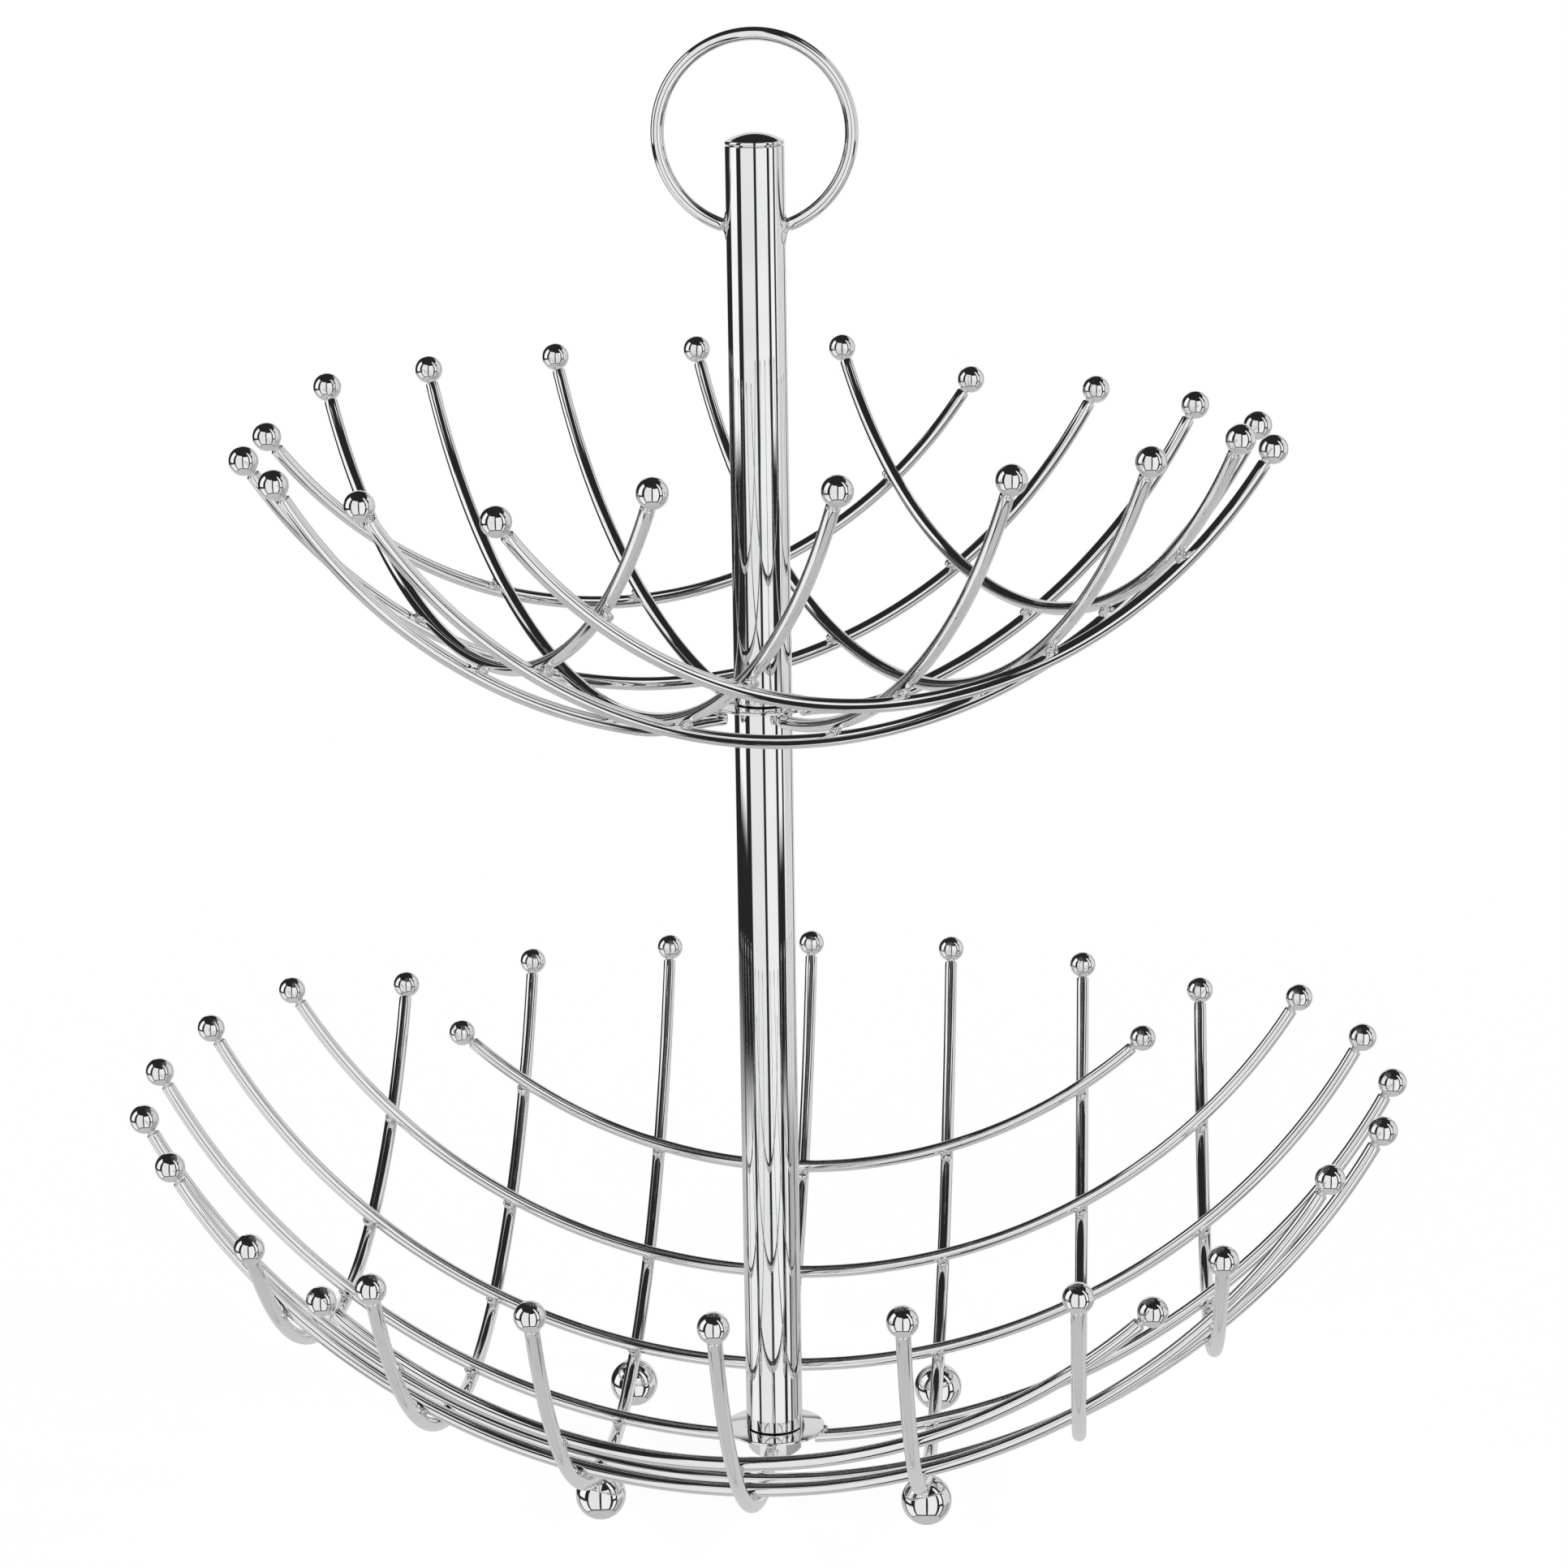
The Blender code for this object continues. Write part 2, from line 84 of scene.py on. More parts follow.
class Graph:
    """A node tree being built, with short ways to add nodes and join them."""

    def __init__(self, tree: bpy.types.NodeTree) -> None:
        """Take an empty or cleared node tree."""
        self.tree = tree

    def node(self, kind: str, **settings: object) -> bpy.types.Node:
        """Add a node.

        Args:
            kind: the node's class name.
            settings: the node's own properties.

        Returns:
            The new node.
        """
        made = self.tree.nodes.new(kind)
        for name, value in settings.items():
            setattr(made, name, value)
        return made

    def feed(self, socket: bpy.types.NodeSocket, value: object) -> None:
        """Link a socket's source to it, or set its constant.

        Args:
            socket: the input that is fed.
            value: a source, or a constant.
        """
        if isinstance(value, bpy.types.NodeSocket):
            self.tree.links.new(value, socket)
        else:
            socket.default_value = value

    def wire(self, kind: str, inputs: dict[str, object], **settings: object) -> bpy.types.Node:
        """Add a node and feed its inputs by name.

        Args:
            kind: the node's class name.
            inputs: values or sources, by the name of the first enabled socket.
            settings: the node's own properties.

        Returns:
            The new node.
        """
        made = self.node(kind, **settings)
        for name, value in inputs.items():
            socket = next(s for s in made.inputs if s.name == name and s.enabled)
            self.feed(socket, value)
        return made

    def math(self, operation: str, *values: object) -> bpy.types.NodeSocket:
        """Work out a number from one or two others.

        Args:
            operation: the Math node's operation.
            values: the numbers or their sources.

        Returns:
            The result's socket.
        """
        made = self.node("ShaderNodeMath", operation=operation)
        for socket, value in zip(made.inputs, values):
            self.feed(socket, value)
        return made.outputs[0]

    def vector(self, operation: str, *values: object) -> bpy.types.NodeSocket:
        """Work out a vector from one or two others.

        Args:
            operation: the Vector Math node's operation.
            values: the vectors or their sources.

        Returns:
            The result's socket.
        """
        made = self.node("ShaderNodeVectorMath", operation=operation)
        for socket, value in zip(made.inputs, values):
            self.feed(socket, value)
        return made.outputs["Value" if operation == "LENGTH" else "Vector"]

    def scale(self, vector: bpy.types.NodeSocket, factor: object) -> bpy.types.NodeSocket:
        """Stretch a vector.

        Args:
            vector: the vector.
            factor: how much longer it becomes, or its source.

        Returns:
            The result's socket.
        """
        made = self.node("ShaderNodeVectorMath", operation="SCALE")
        self.feed(made.inputs["Vector"], vector)
        self.feed(made.inputs["Scale"], factor)
        return made.outputs["Vector"]

    def combine(self, x: object, y: object, z: object) -> bpy.types.NodeSocket:
        """Make a vector from its three numbers."""
        return self.wire("ShaderNodeCombineXYZ", {"X": x, "Y": y, "Z": z}).outputs[0]

    def separate(self, vector: bpy.types.NodeSocket) -> list[bpy.types.NodeSocket]:
        """Take a vector apart into its three numbers."""
        return list(self.wire("ShaderNodeSeparateXYZ", {"Vector": vector}).outputs)

    def ramp(self, value: object, low: object, high: object,
             start: object = 0.0, end: object = 1.0) -> bpy.types.NodeSocket:
        """Ease from one number to another as a value passes through a range.

        Args:
            value: what is read.
            low: the value at which the result is start.
            high: the value at which the result is end.
            start: the result below the range.
            end: the result above the range.

        Returns:
            The result's socket.
        """
        made = self.wire("ShaderNodeMapRange", {
            "Value": value, "From Min": low, "From Max": high, "To Min": start, "To Max": end},
            interpolation_type="SMOOTHSTEP")
        return made.outputs["Result"]

    def noise(self, place: bpy.types.NodeSocket, scale: object, detail: float,
              roughness: float = 0.5) -> bpy.types.Node:
        """Add a noise texture.

        Args:
            place: where it is read.
            scale: how many lumps it has in a metre, or their source.
            detail: how many finer layers lie over the lumps.
            roughness: how strong each finer layer is.

        Returns:
            The noise node.
        """
        return self.wire("ShaderNodeTexNoise", {
            "Vector": place, "Scale": scale, "Detail": detail, "Roughness": roughness})

    def attribute(self, name: str, kind: str) -> bpy.types.NodeSocket:
        """Read a named attribute of the kind given."""
        return self.wire("GeometryNodeInputNamedAttribute", {"Name": name},
                         data_type=kind).outputs["Attribute"]

    def store(self, geometry: bpy.types.NodeSocket, name: str, value: bpy.types.NodeSocket,
              kind: str) -> bpy.types.NodeSocket:
        """Keep a value under a name at every point of a geometry.

        Args:
            geometry: the geometry's source.
            name: the attribute's name.
            value: the value's source.
            kind: the attribute's data type.

        Returns:
            The geometry with its new attribute.
        """
        return self.wire("GeometryNodeStoreNamedAttribute",
                         {"Geometry": geometry, "Name": name, "Value": value},
                         data_type=kind, domain="POINT").outputs[0]

    def dress(self, geometry: bpy.types.NodeSocket, material: bpy.types.NodeSocket,
              output: bpy.types.Node) -> None:
        """End a geometry tree: realize its instances and set their material.

        Args:
            geometry: what the tree has made.
            material: the material's source.
            output: the tree's output node.
        """
        real = self.wire("GeometryNodeRealizeInstances", {"Geometry": geometry})
        dressed = self.wire("GeometryNodeSetMaterial",
                            {"Geometry": real.outputs[0], "Material": material})
        self.feed(output.inputs[0], dressed.outputs[0])


def new_group(name: str, kind: str, inputs: dict[str, str],
              outputs: dict[str, str]
              ) -> tuple[Graph, dict[str, bpy.types.NodeSocket], bpy.types.Node]:
    """Start a node group with named inputs and outputs.

    Args:
        name: the group's name.
        kind: GeometryNodeTree or ShaderNodeTree.
        inputs: socket class of each input, by name.
        outputs: socket class of each output, by name.

    Returns:
        The graph, the input sockets by name, and the output node.
    """
    tree = bpy.data.node_groups.new(name, kind)
    for title, socket in inputs.items():
        tree.interface.new_socket(title, in_out="INPUT", socket_type=socket)
    for title, socket in outputs.items():
        tree.interface.new_socket(title, in_out="OUTPUT", socket_type=socket)
    graph = Graph(tree)
    source = {s.name: s for s in graph.node("NodeGroupInput").outputs if s.name}
    return graph, source, graph.node("NodeGroupOutput")


def number_inputs(*names: str) -> dict[str, str]:
    """Describe group inputs that are plain numbers."""
    return {name: "NodeSocketFloat" for name in names}


# --------------------------------------------------------------------------- shapes


def add_object(name: str, mesh: bpy.types.Mesh) -> bpy.types.Object:
    """Put a mesh in the scene as an object at the origin.

    Args:
        name: the object's name.
        mesh: its mesh.

    Returns:
        The object.
    """
    made = bpy.data.objects.new(name, mesh)
    bpy.context.scene.collection.objects.link(made)
    return made


def plain_mesh(name: str, shape: bmesh.types.BMesh) -> bpy.types.Mesh:
    """Turn a shape that has been drawn into a mesh and let go of the shape.

    Args:
        name: the mesh's name.
        shape: the drawn shape.

    Returns:
        The mesh.
    """
    mesh = bpy.data.meshes.new(name)
    shape.to_mesh(mesh)
    shape.free()
    return mesh


def node_box(node: str) -> tuple[Vector, Vector]:
    """Find the lowest and the highest corner of a frame node."""
    low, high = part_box(node)
    return Vector(low), Vector(high)


def finish_mesh(mesh: bpy.types.Mesh, material: bpy.types.Material) -> None:
    """Merge doubles, turn the faces outwards, smooth the round parts and dress it.

    Args:
        mesh: the mesh, which is changed.
        material: the only material that it keeps.
    """
    shape = bmesh.new()
    shape.from_mesh(mesh)
    bmesh.ops.remove_doubles(shape, verts=shape.verts, dist=MERGE_DISTANCE)
    bmesh.ops.recalc_face_normals(shape, faces=shape.faces)
    shape.to_mesh(mesh)
    shape.free()
    mesh.materials.clear()
    mesh.materials.append(material)
    mesh.shade_smooth()
    mesh.set_sharp_from_angle(angle=SHARP_ANGLE)


def freeze(guide: bpy.types.Object) -> bpy.types.Mesh:
    """Turn what an object's modifiers make into a plain mesh and drop the object.

    Args:
        guide: the object with live modifiers.

    Returns:
        The plain mesh.
    """
    bpy.context.view_layer.update()
    depsgraph = bpy.context.evaluated_depsgraph_get()
    mesh = bpy.data.meshes.new_from_object(guide.evaluated_get(depsgraph))
    bpy.data.objects.remove(guide, do_unlink=True)
    return mesh


def run_tree(name: str, base: bpy.types.Mesh, tree: bpy.types.NodeTree,
             values: dict[str, object]) -> bpy.types.Mesh:
    """Run a geometry node tree on a base mesh.

    Args:
        name: name of the guide object.
        base: the mesh that the tree starts from.
        tree: the tree.
        values: the tree's inputs, by name.

    Returns:
        The finished plain mesh.
    """
    guide = add_object(name, base)
    modifier = guide.modifiers.new(tree.name, "NODES")
    modifier.node_group = tree
    for item in tree.interface.items_tree:
        if item.in_out == "INPUT" and item.name in values:
            modifier[item.identifier] = values[item.name]
    return freeze(guide)


def turned(name: str, profile: Profile, sides: int, closed: bool,
           reach: Callable[[float, float, float], float] | None = None) -> bpy.types.Mesh:
    """Turn a profile about the Z axis.

    Args:
        name: the mesh's name.
        profile: (radius, height) points, from the top down the outside.
        sides: number of steps round the axis.
        closed: True where the last point joins the first, as on a tube.
        reach: changes a point's radius from its angle, radius and height.

    Returns:
        The mesh; points on the axis share one vertex.
    """
    shape = bmesh.new()
    rings = []
    for radius, height in profile:
        if radius == 0.0:
            rings.append([shape.verts.new((0.0, 0.0, height))] * sides)
            continue
        ring = []
        for step in range(sides):
            angle = 2 * math.pi * step / sides
            out = reach(angle, radius, height) if reach else radius
            ring.append(shape.verts.new((out * math.cos(angle), out * math.sin(angle), height)))
        rings.append(ring)
    pairs = list(zip(rings, rings[1:])) + ([(rings[-1], rings[0])] if closed else [])
    for upper, lower in pairs:
        for step in range(sides):
            following = (step + 1) % sides
            corners = [upper[step], lower[step], lower[following], upper[following]]
            shape.faces.new(list(dict.fromkeys(corners)))
    return plain_mesh(name, shape)


def arc(centre: tuple[float, float], radius: float, start: float, end: float,
        steps: int) -> Profile:
    """Points on an arc of a profile.

    Args:
        centre: (radius, height) of the arc's centre.
        radius: of the arc.
        start: angle of the first point in degrees; 0 is outwards, 90 is up.
        end: angle of the last point.
        steps: number of stretches between them.

    Returns:
        The points, both ends included.
    """
    angles = [math.radians(start + (end - start) * step / steps) for step in range(steps + 1)]
    return [(centre[0] + radius * math.cos(a), centre[1] + radius * math.sin(a)) for a in angles]


def sleeve(name: str, inner: float, outer: float, low: float, high: float, edge: float,
           sides: int = 128) -> bpy.types.Mesh:
    """Turn a straight ring, such as a tube or a disc, with its outer edges rounded.

    Args:
        name: the mesh's name.
        inner: radius of its bore.
        outer: radius of its outside.
        low: height of its lower face.
        high: height of its upper face.
        edge: radius of the rounded edges.
        sides: number of steps round the axis.

    Returns:
        The mesh.
    """
    profile = [(inner, high)]
    profile += arc((outer - edge, high - edge), edge, 90, 0, EDGE_STEPS)
    profile += arc((outer - edge, low + edge), edge, 0, -90, EDGE_STEPS)
    profile += [(inner, low)]
    return turned(name, profile, sides, closed=True)


# ----------------------------------------------------------------- geometry node trees


def rolled_wire_tree() -> bpy.types.NodeTree:
    """Build the tree that rolls a straight rod to a bend and sweeps its section.

    The rod lies along +X as a chain of edges with its radius at each vertex. The
    bend lies in a plane beside the column's axis. A middle rib also rises by Hub
    Lift as it nears the hub.

    Returns:
        The geometry node tree.
    """
    inputs = {"Geometry": "NodeSocketGeometry", "Sides": "NodeSocketInt",
              "Material": "NodeSocketMaterial",
              **number_inputs("Bend Radius", "Centre Height", "Across", "Turn",
                              "Hub Start", "Hub Run", "Hub Lift")}
    graph, source, output = new_group("rolled_wire", "GeometryNodeTree", inputs,
                                      {"Geometry": "NodeSocketGeometry"})
    straight = graph.node("GeometryNodeInputPosition").outputs[0]
    travel = graph.separate(straight)[0]
    chain = graph.store(source["Geometry"], "travel", travel, "FLOAT")
    curve = graph.wire("GeometryNodeMeshToCurve", {"Mesh": chain})
    bend = source["Bend Radius"]
    angle = graph.math("DIVIDE", travel, bend)
    along = graph.math("MULTIPLY", graph.math("SINE", angle), bend)
    fall = graph.math("MULTIPLY", graph.math("COSINE", angle), bend)
    hub_end = graph.math("ADD", source["Hub Start"], source["Hub Run"])
    lift = graph.ramp(graph.math("ABSOLUTE", along), source["Hub Start"], hub_end,
                      source["Hub Lift"], 0.0)
    height = graph.math("ADD", graph.math("SUBTRACT", source["Centre Height"], fall), lift)
    place = graph.combine(along, source["Across"], height)
    turn = graph.wire("ShaderNodeVectorRotate", {"Vector": place, "Angle": source["Turn"]},
                      rotation_type="Z_AXIS")
    bent = graph.wire("GeometryNodeSetPosition",
                      {"Geometry": curve.outputs[0], "Position": turn.outputs[0]})
    circle = graph.wire("GeometryNodeCurvePrimitiveCircle",
                        {"Resolution": source["Sides"], "Radius": 1.0})
    section = graph.store(circle.outputs[0], "section", straight, "FLOAT_VECTOR")
    girth = graph.attribute(GIRTH, "FLOAT")
    swept = graph.wire("GeometryNodeCurveToMesh",
                       {"Curve": bent.outputs[0], "Profile Curve": section,
                        "Scale": girth, "Fill Caps": True})
    side, top = graph.separate(graph.attribute("section", "FLOAT_VECTOR"))[:2]
    blank = graph.combine(graph.attribute("travel", "FLOAT"),
                          graph.math("MULTIPLY", side, girth),
                          graph.math("MULTIPLY", top, girth))
    rod = graph.store(swept.outputs[0], BLANK, blank, "FLOAT_VECTOR")
    for name in ("travel", "section", GIRTH):
        rod = graph.wire("GeometryNodeRemoveAttribute",
                         {"Geometry": rod, "Name": name}).outputs[0]
    graph.dress(rod, source["Material"], output)
    return graph.tree


def weld_bead_tree() -> bpy.types.NodeTree:
    """Build the tree that puts a small squeezed, uneven bead on every vertex.

    Returns:
        The geometry node tree.
    """
    inputs = {"Geometry": "NodeSocketGeometry", "Material": "NodeSocketMaterial",
              "Seed": "NodeSocketInt", **number_inputs("Bead Radius", "Size Change", "Roughness")}
    graph, source, output = new_group("weld_beads", "GeometryNodeTree", inputs,
                                      {"Geometry": "NodeSocketGeometry"})
    ball = graph.wire("GeometryNodeMeshIcoSphere",
                      {"Radius": source["Bead Radius"], "Subdivisions": 3})
    tilt = graph.wire("FunctionNodeAlignRotationToVector",
                      {"Vector": graph.attribute(FACING, "FLOAT_VECTOR")}, axis="Z")
    size = graph.wire("FunctionNodeRandomValue",
                      {"Min": graph.math("SUBTRACT", 1.0, source["Size Change"]),
                       "Max": graph.math("ADD", 1.0, source["Size Change"]),
                       "Seed": source["Seed"]}, data_type="FLOAT")
    share = next(s for s in size.outputs if s.enabled)
    beads = graph.wire("GeometryNodeInstanceOnPoints",
                       {"Points": source["Geometry"], "Instance": ball.outputs["Mesh"],
                        "Rotation": tilt.outputs[0],
                        "Scale": graph.scale(graph.attribute(SPREAD, "FLOAT_VECTOR"), share)})
    real = graph.wire("GeometryNodeRealizeInstances", {"Geometry": beads.outputs[0]})
    place = graph.node("GeometryNodeInputPosition").outputs[0]
    lumps = graph.noise(place, LUMPS_PER_METRE, 2.0)
    centred = graph.vector("SUBTRACT", lumps.outputs["Color"], (0.5, 0.5, 0.5))
    uneven = graph.wire("GeometryNodeSetPosition",
                        {"Geometry": real.outputs[0],
                         "Offset": graph.scale(centred, source["Roughness"])})
    graph.dress(uneven.outputs[0], source["Material"], output)
    return graph.tree


# -------------------------------------------------------------------------- finishes


def polishing_marks_group() -> bpy.types.NodeTree:
    """Build the shader group of fine polishing marks.

    Its vector is read in metres along, across and through the surface's grain.

    Returns:
        The group, which puts out a Height and a Mask of the deeper marks.
    """
    graph, source, output = new_group(
        "polishing_marks", "ShaderNodeTree",
        {"Vector": "NodeSocketVector", **number_inputs("Pitch", "Stretch", "Waviness")},
        {"Height": "NodeSocketFloat", "Mask": "NodeSocketFloat"})
    along, across, through = graph.separate(source["Vector"])
    fine = graph.math("DIVIDE", 1.0, source["Pitch"])
    slow = graph.math("DIVIDE", fine, source["Stretch"])
    grain = graph.combine(graph.math("MULTIPLY", along, slow),
                          graph.math("MULTIPLY", across, fine),
                          graph.math("MULTIPLY", through, fine))
    lines = graph.noise(grain, 1.0, 3.0, 0.6)
    waves = graph.noise(source["Vector"], WAVES_PER_METRE, 1.0)
    swell = graph.math("MULTIPLY", waves.outputs["Fac"], source["Waviness"])
    graph.feed(output.inputs["Height"], graph.math("ADD", lines.outputs["Fac"], swell))
    graph.feed(output.inputs["Mask"], graph.ramp(lines.outputs["Fac"], *DEEP_MARKS))
    return graph.tree


def plating_haze_group() -> bpy.types.NodeTree:
    """Build the shader group of the faint cloudiness on plating that is handled.

    Returns:
        The group, which puts out a Roughness and a Mask of the hazier places.
    """
    graph, source, output = new_group(
        "plating_haze", "ShaderNodeTree",
        {"Vector": "NodeSocketVector",
         **number_inputs("Patch Size", "Clear", "Hazy", "Marks", "Mark Strength")},
        {"Roughness": "NodeSocketFloat", "Mask": "NodeSocketFloat"})
    per_metre = graph.math("DIVIDE", 1.0, source["Patch Size"])
    patches = graph.noise(source["Vector"], per_metre, 4.0, 0.55)
    mask = graph.ramp(patches.outputs["Fac"], *HAZY_PATCHES)
    base = graph.ramp(mask, 0.0, 1.0, source["Clear"], source["Hazy"])
    marks = graph.math("MULTIPLY", source["Marks"], source["Mark Strength"])
    graph.feed(output.inputs["Roughness"], graph.math("ADD", base, marks))
    graph.feed(output.inputs["Mask"], mask)
    return graph.tree


def colour_socket(sockets: Iterable[bpy.types.NodeSocket], name: str) -> bpy.types.NodeSocket:
    """Find a Mix node's colour socket by its name."""
    return next(s for s in sockets if s.name == name and s.type == "RGBA")


def plating_tone_group() -> bpy.types.NodeTree:
    """Build the shader group that shifts a plating's colour a little from place to place.

    Returns:
        The group, which puts out a Color.
    """
    graph, source, output = new_group(
        "plating_tone", "ShaderNodeTree",
        {"Vector": "NodeSocketVector", "Bright": "NodeSocketColor", "Dull": "NodeSocketColor",
         **number_inputs("Patch Size", "Haze")},
        {"Color": "NodeSocketColor"})
    per_metre = graph.math("DIVIDE", 1.0, source["Patch Size"])
    tone = graph.noise(source["Vector"], per_metre, 2.0)
    share = graph.math("ADD", graph.math("MULTIPLY", tone.outputs["Fac"], 0.5),
                       graph.math("MULTIPLY", source["Haze"], 0.5))
    mixed = graph.node("ShaderNodeMix", data_type="RGBA")
    graph.feed(mixed.inputs["Factor"], share)
    graph.feed(colour_socket(mixed.inputs, "A"), source["Bright"])
    graph.feed(colour_socket(mixed.inputs, "B"), source["Dull"])
    graph.feed(output.inputs["Color"], colour_socket(mixed.outputs, "Result"))
    return graph.tree


@dataclass(frozen=True)
class ShaderGroups:
    """The shader groups that every finish shares."""

    marks: bpy.types.NodeTree = field(default_factory=polishing_marks_group)
    haze: bpy.types.NodeTree = field(default_factory=plating_haze_group)
    tone: bpy.types.NodeTree = field(default_factory=plating_tone_group)


@dataclass(frozen=True)
class MetalFinish:
    """A plated finish: its colours, how clear it is and how its marks run.

    Lengths are in metres.
    """

    name: str
    slot: str
    grain: Grain
    bright: tuple[float, float, float]
    dull: tuple[float, float, float]
    clear: float = 0.035
    hazy: float = 0.075
    haze_patch: float = 0.014
    tone_patch: float = 0.030
    mark_pitch: float = 0.00025
    mark_stretch: float = 45.0
    mark_depth: float = 1.2e-6
    mark_roughness: float = 0.03
    waviness: float = 3.0

    def coordinates(self, graph: Graph) -> tuple[bpy.types.NodeSocket, bpy.types.NodeSocket]:
        """Find the coordinates that the finish is read at.

        Args:
            graph: the material's graph.

        Returns:
            The grain's vector, along it first and then the two ways across it, and
            the plain place on the piece.
        """
        if self.grain is Grain.ALONG_WIRE:
            blank = graph.node("ShaderNodeAttribute", attribute_name=BLANK).outputs["Vector"]
            return blank, blank
        place = graph.node("ShaderNodeTexCoord").outputs["Object"]
        if self.grain is Grain.CLOUDY:
            return place, place
        x, y, z = graph.separate(place)
        if self.grain is Grain.UPRIGHT:
            return graph.combine(z, x, y), place
        out = graph.vector("LENGTH", graph.combine(x, y, 0.0))
        return graph.combine(z, out, 0.0), place

    def material(self, groups: ShaderGroups) -> bpy.types.Material:
        """Build the finish's material.

        Args:
            groups: the shared shader groups.

        Returns:
            The material, which is made once and then reused.
        """
        made = bpy.data.materials.get(self.name)
        if made is not None:
            return made
        made = bpy.data.materials.new(self.name)
        made.use_nodes = True
        graph = Graph(made.node_tree)
        shader = made.node_tree.nodes["Principled BSDF"]
        shader.inputs["Metallic"].default_value = 1.0
        grain, place = self.coordinates(graph)
        marks = graph.wire("ShaderNodeGroup", {
            "Vector": grain, "Pitch": self.mark_pitch, "Stretch": self.mark_stretch,
            "Waviness": self.waviness}, node_tree=groups.marks)
        haze = graph.wire("ShaderNodeGroup", {
            "Vector": place, "Patch Size": self.haze_patch, "Clear": self.clear,
            "Hazy": self.hazy, "Marks": marks.outputs["Mask"],
            "Mark Strength": self.mark_roughness}, node_tree=groups.haze)
        tone = graph.wire("ShaderNodeGroup", {
            "Vector": place, "Bright": (*self.bright, 1.0), "Dull": (*self.dull, 1.0),
            "Patch Size": self.tone_patch, "Haze": haze.outputs["Mask"]}, node_tree=groups.tone)
        bump = graph.wire("ShaderNodeBump", {"Strength": 1.0, "Distance": self.mark_depth,
                                             "Height": marks.outputs["Height"]})
        graph.feed(shader.inputs["Base Color"], tone.outputs["Color"])
        graph.feed(shader.inputs["Roughness"], haze.outputs["Roughness"])
        graph.feed(shader.inputs["Normal"], bump.outputs["Normal"])
        return made


CHROME_BRIGHT = (0.88, 0.885, 0.89)
CHROME_DULL = (0.80, 0.81, 0.82)
WIRE_CHROME = MetalFinish("wire_chrome", "polished_wire", Grain.ALONG_WIRE,
                          CHROME_BRIGHT, CHROME_DULL, clear=0.014, hazy=0.032,
                          mark_depth=3e-7, mark_roughness=0.012, waviness=1.5)
TUBE_CHROME = MetalFinish("tube_chrome", "polished_tube", Grain.UPRIGHT,
                          CHROME_BRIGHT, CHROME_DULL, clear=0.020, hazy=0.045,
                          haze_patch=0.022, mark_stretch=90.0, mark_depth=4e-7,
                          mark_roughness=0.012, waviness=2.0)
DISC_CHROME = MetalFinish("disc_chrome", "polished_disc", Grain.ROUND,
                          CHROME_BRIGHT, CHROME_DULL, clear=0.03, hazy=0.07,
                          mark_depth=5e-7)
FOOT_CHROME = MetalFinish("foot_chrome", "polished_foot", Grain.CLOUDY,
                          CHROME_BRIGHT, CHROME_DULL, clear=0.03, hazy=0.07,
                          mark_stretch=1.0, mark_pitch=0.0009, waviness=1.5)
CAP_CHROME = MetalFinish("cap_chrome", "polished_cap", Grain.ROUND,
                         CHROME_BRIGHT, CHROME_DULL, clear=0.03, hazy=0.06)
# The nut's plating, rough and cloudy. Its bright colour is a little lighter than the other
# chrome: painted light that makes up for the shade of the disc above it and the wires round it.
NUT_CHROME_PAINTED_LIGHT = MetalFinish("nut_chrome_painted_light", "polished_nut", Grain.CLOUDY,
                         (0.90, 0.90, 0.905), (0.80, 0.80, 0.81), clear=0.09, hazy=0.22,
                         mark_stretch=3.0, mark_pitch=0.0005, mark_depth=6e-6)
WELD_CHROME = MetalFinish("weld_chrome", "polished_wire", Grain.CLOUDY,
                          (0.84, 0.845, 0.85), (0.66, 0.665, 0.67), clear=0.07, hazy=0.20,
                          haze_patch=0.002, mark_stretch=1.0, mark_pitch=0.0004,
                          mark_depth=1.2e-5)
ZINC = MetalFinish("zinc_plate", "zinc_plate", Grain.CLOUDY,
                   (0.66, 0.67, 0.69), (0.50, 0.51, 0.53), clear=0.26, hazy=0.42,
                   haze_patch=0.004, mark_stretch=2.0, mark_pitch=0.0006,
                   mark_depth=8e-6, waviness=1.0)


@dataclass
class Workshop:
    """What every sub-assembly needs: the node trees and the shader groups."""

    groups: ShaderGroups = field(default_factory=ShaderGroups)
    roll: bpy.types.NodeTree = field(default_factory=rolled_wire_tree)
    beads: bpy.types.NodeTree = field(default_factory=weld_bead_tree)

    def deliver(self, name: str, mesh: bpy.types.Mesh, finish: MetalFinish, body: str,
                replaces: Iterable[str] = ()) -> bpy.types.Object:
        """Dress a finished mesh and hand it over as a piece of the stand.

        Args:
            name: the piece's name.
            mesh: its mesh, in the stand's own frame.
            finish: its finish.
            body: the body that it moves with.
            replaces: the frame nodes that it stands for.

        Returns:
            The piece.
        """
        finish_mesh(mesh, finish.material(self.groups))
        mesh.name = name
        piece = add_object(name, mesh)
        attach(piece, body)
        nodes = tuple(replaces)
        if nodes:
            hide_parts(*nodes)
        LOG.info("%s: %d faces on %s", name, len(mesh.polygons), body)
        return piece

    def redress(self, node: str, finish: MetalFinish) -> None:
        """Give a frame node that stays as it is a finish of its own.

        Args:
            node: the frame node.
            finish: its finish.
        """
        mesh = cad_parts[node].data
        mesh.materials.clear()
        mesh.materials.append(finish.material(self.groups))
        LOG.info("%s: frame node in %s", node, finish.name)


# ------------------------------------------------------------------------------ rods


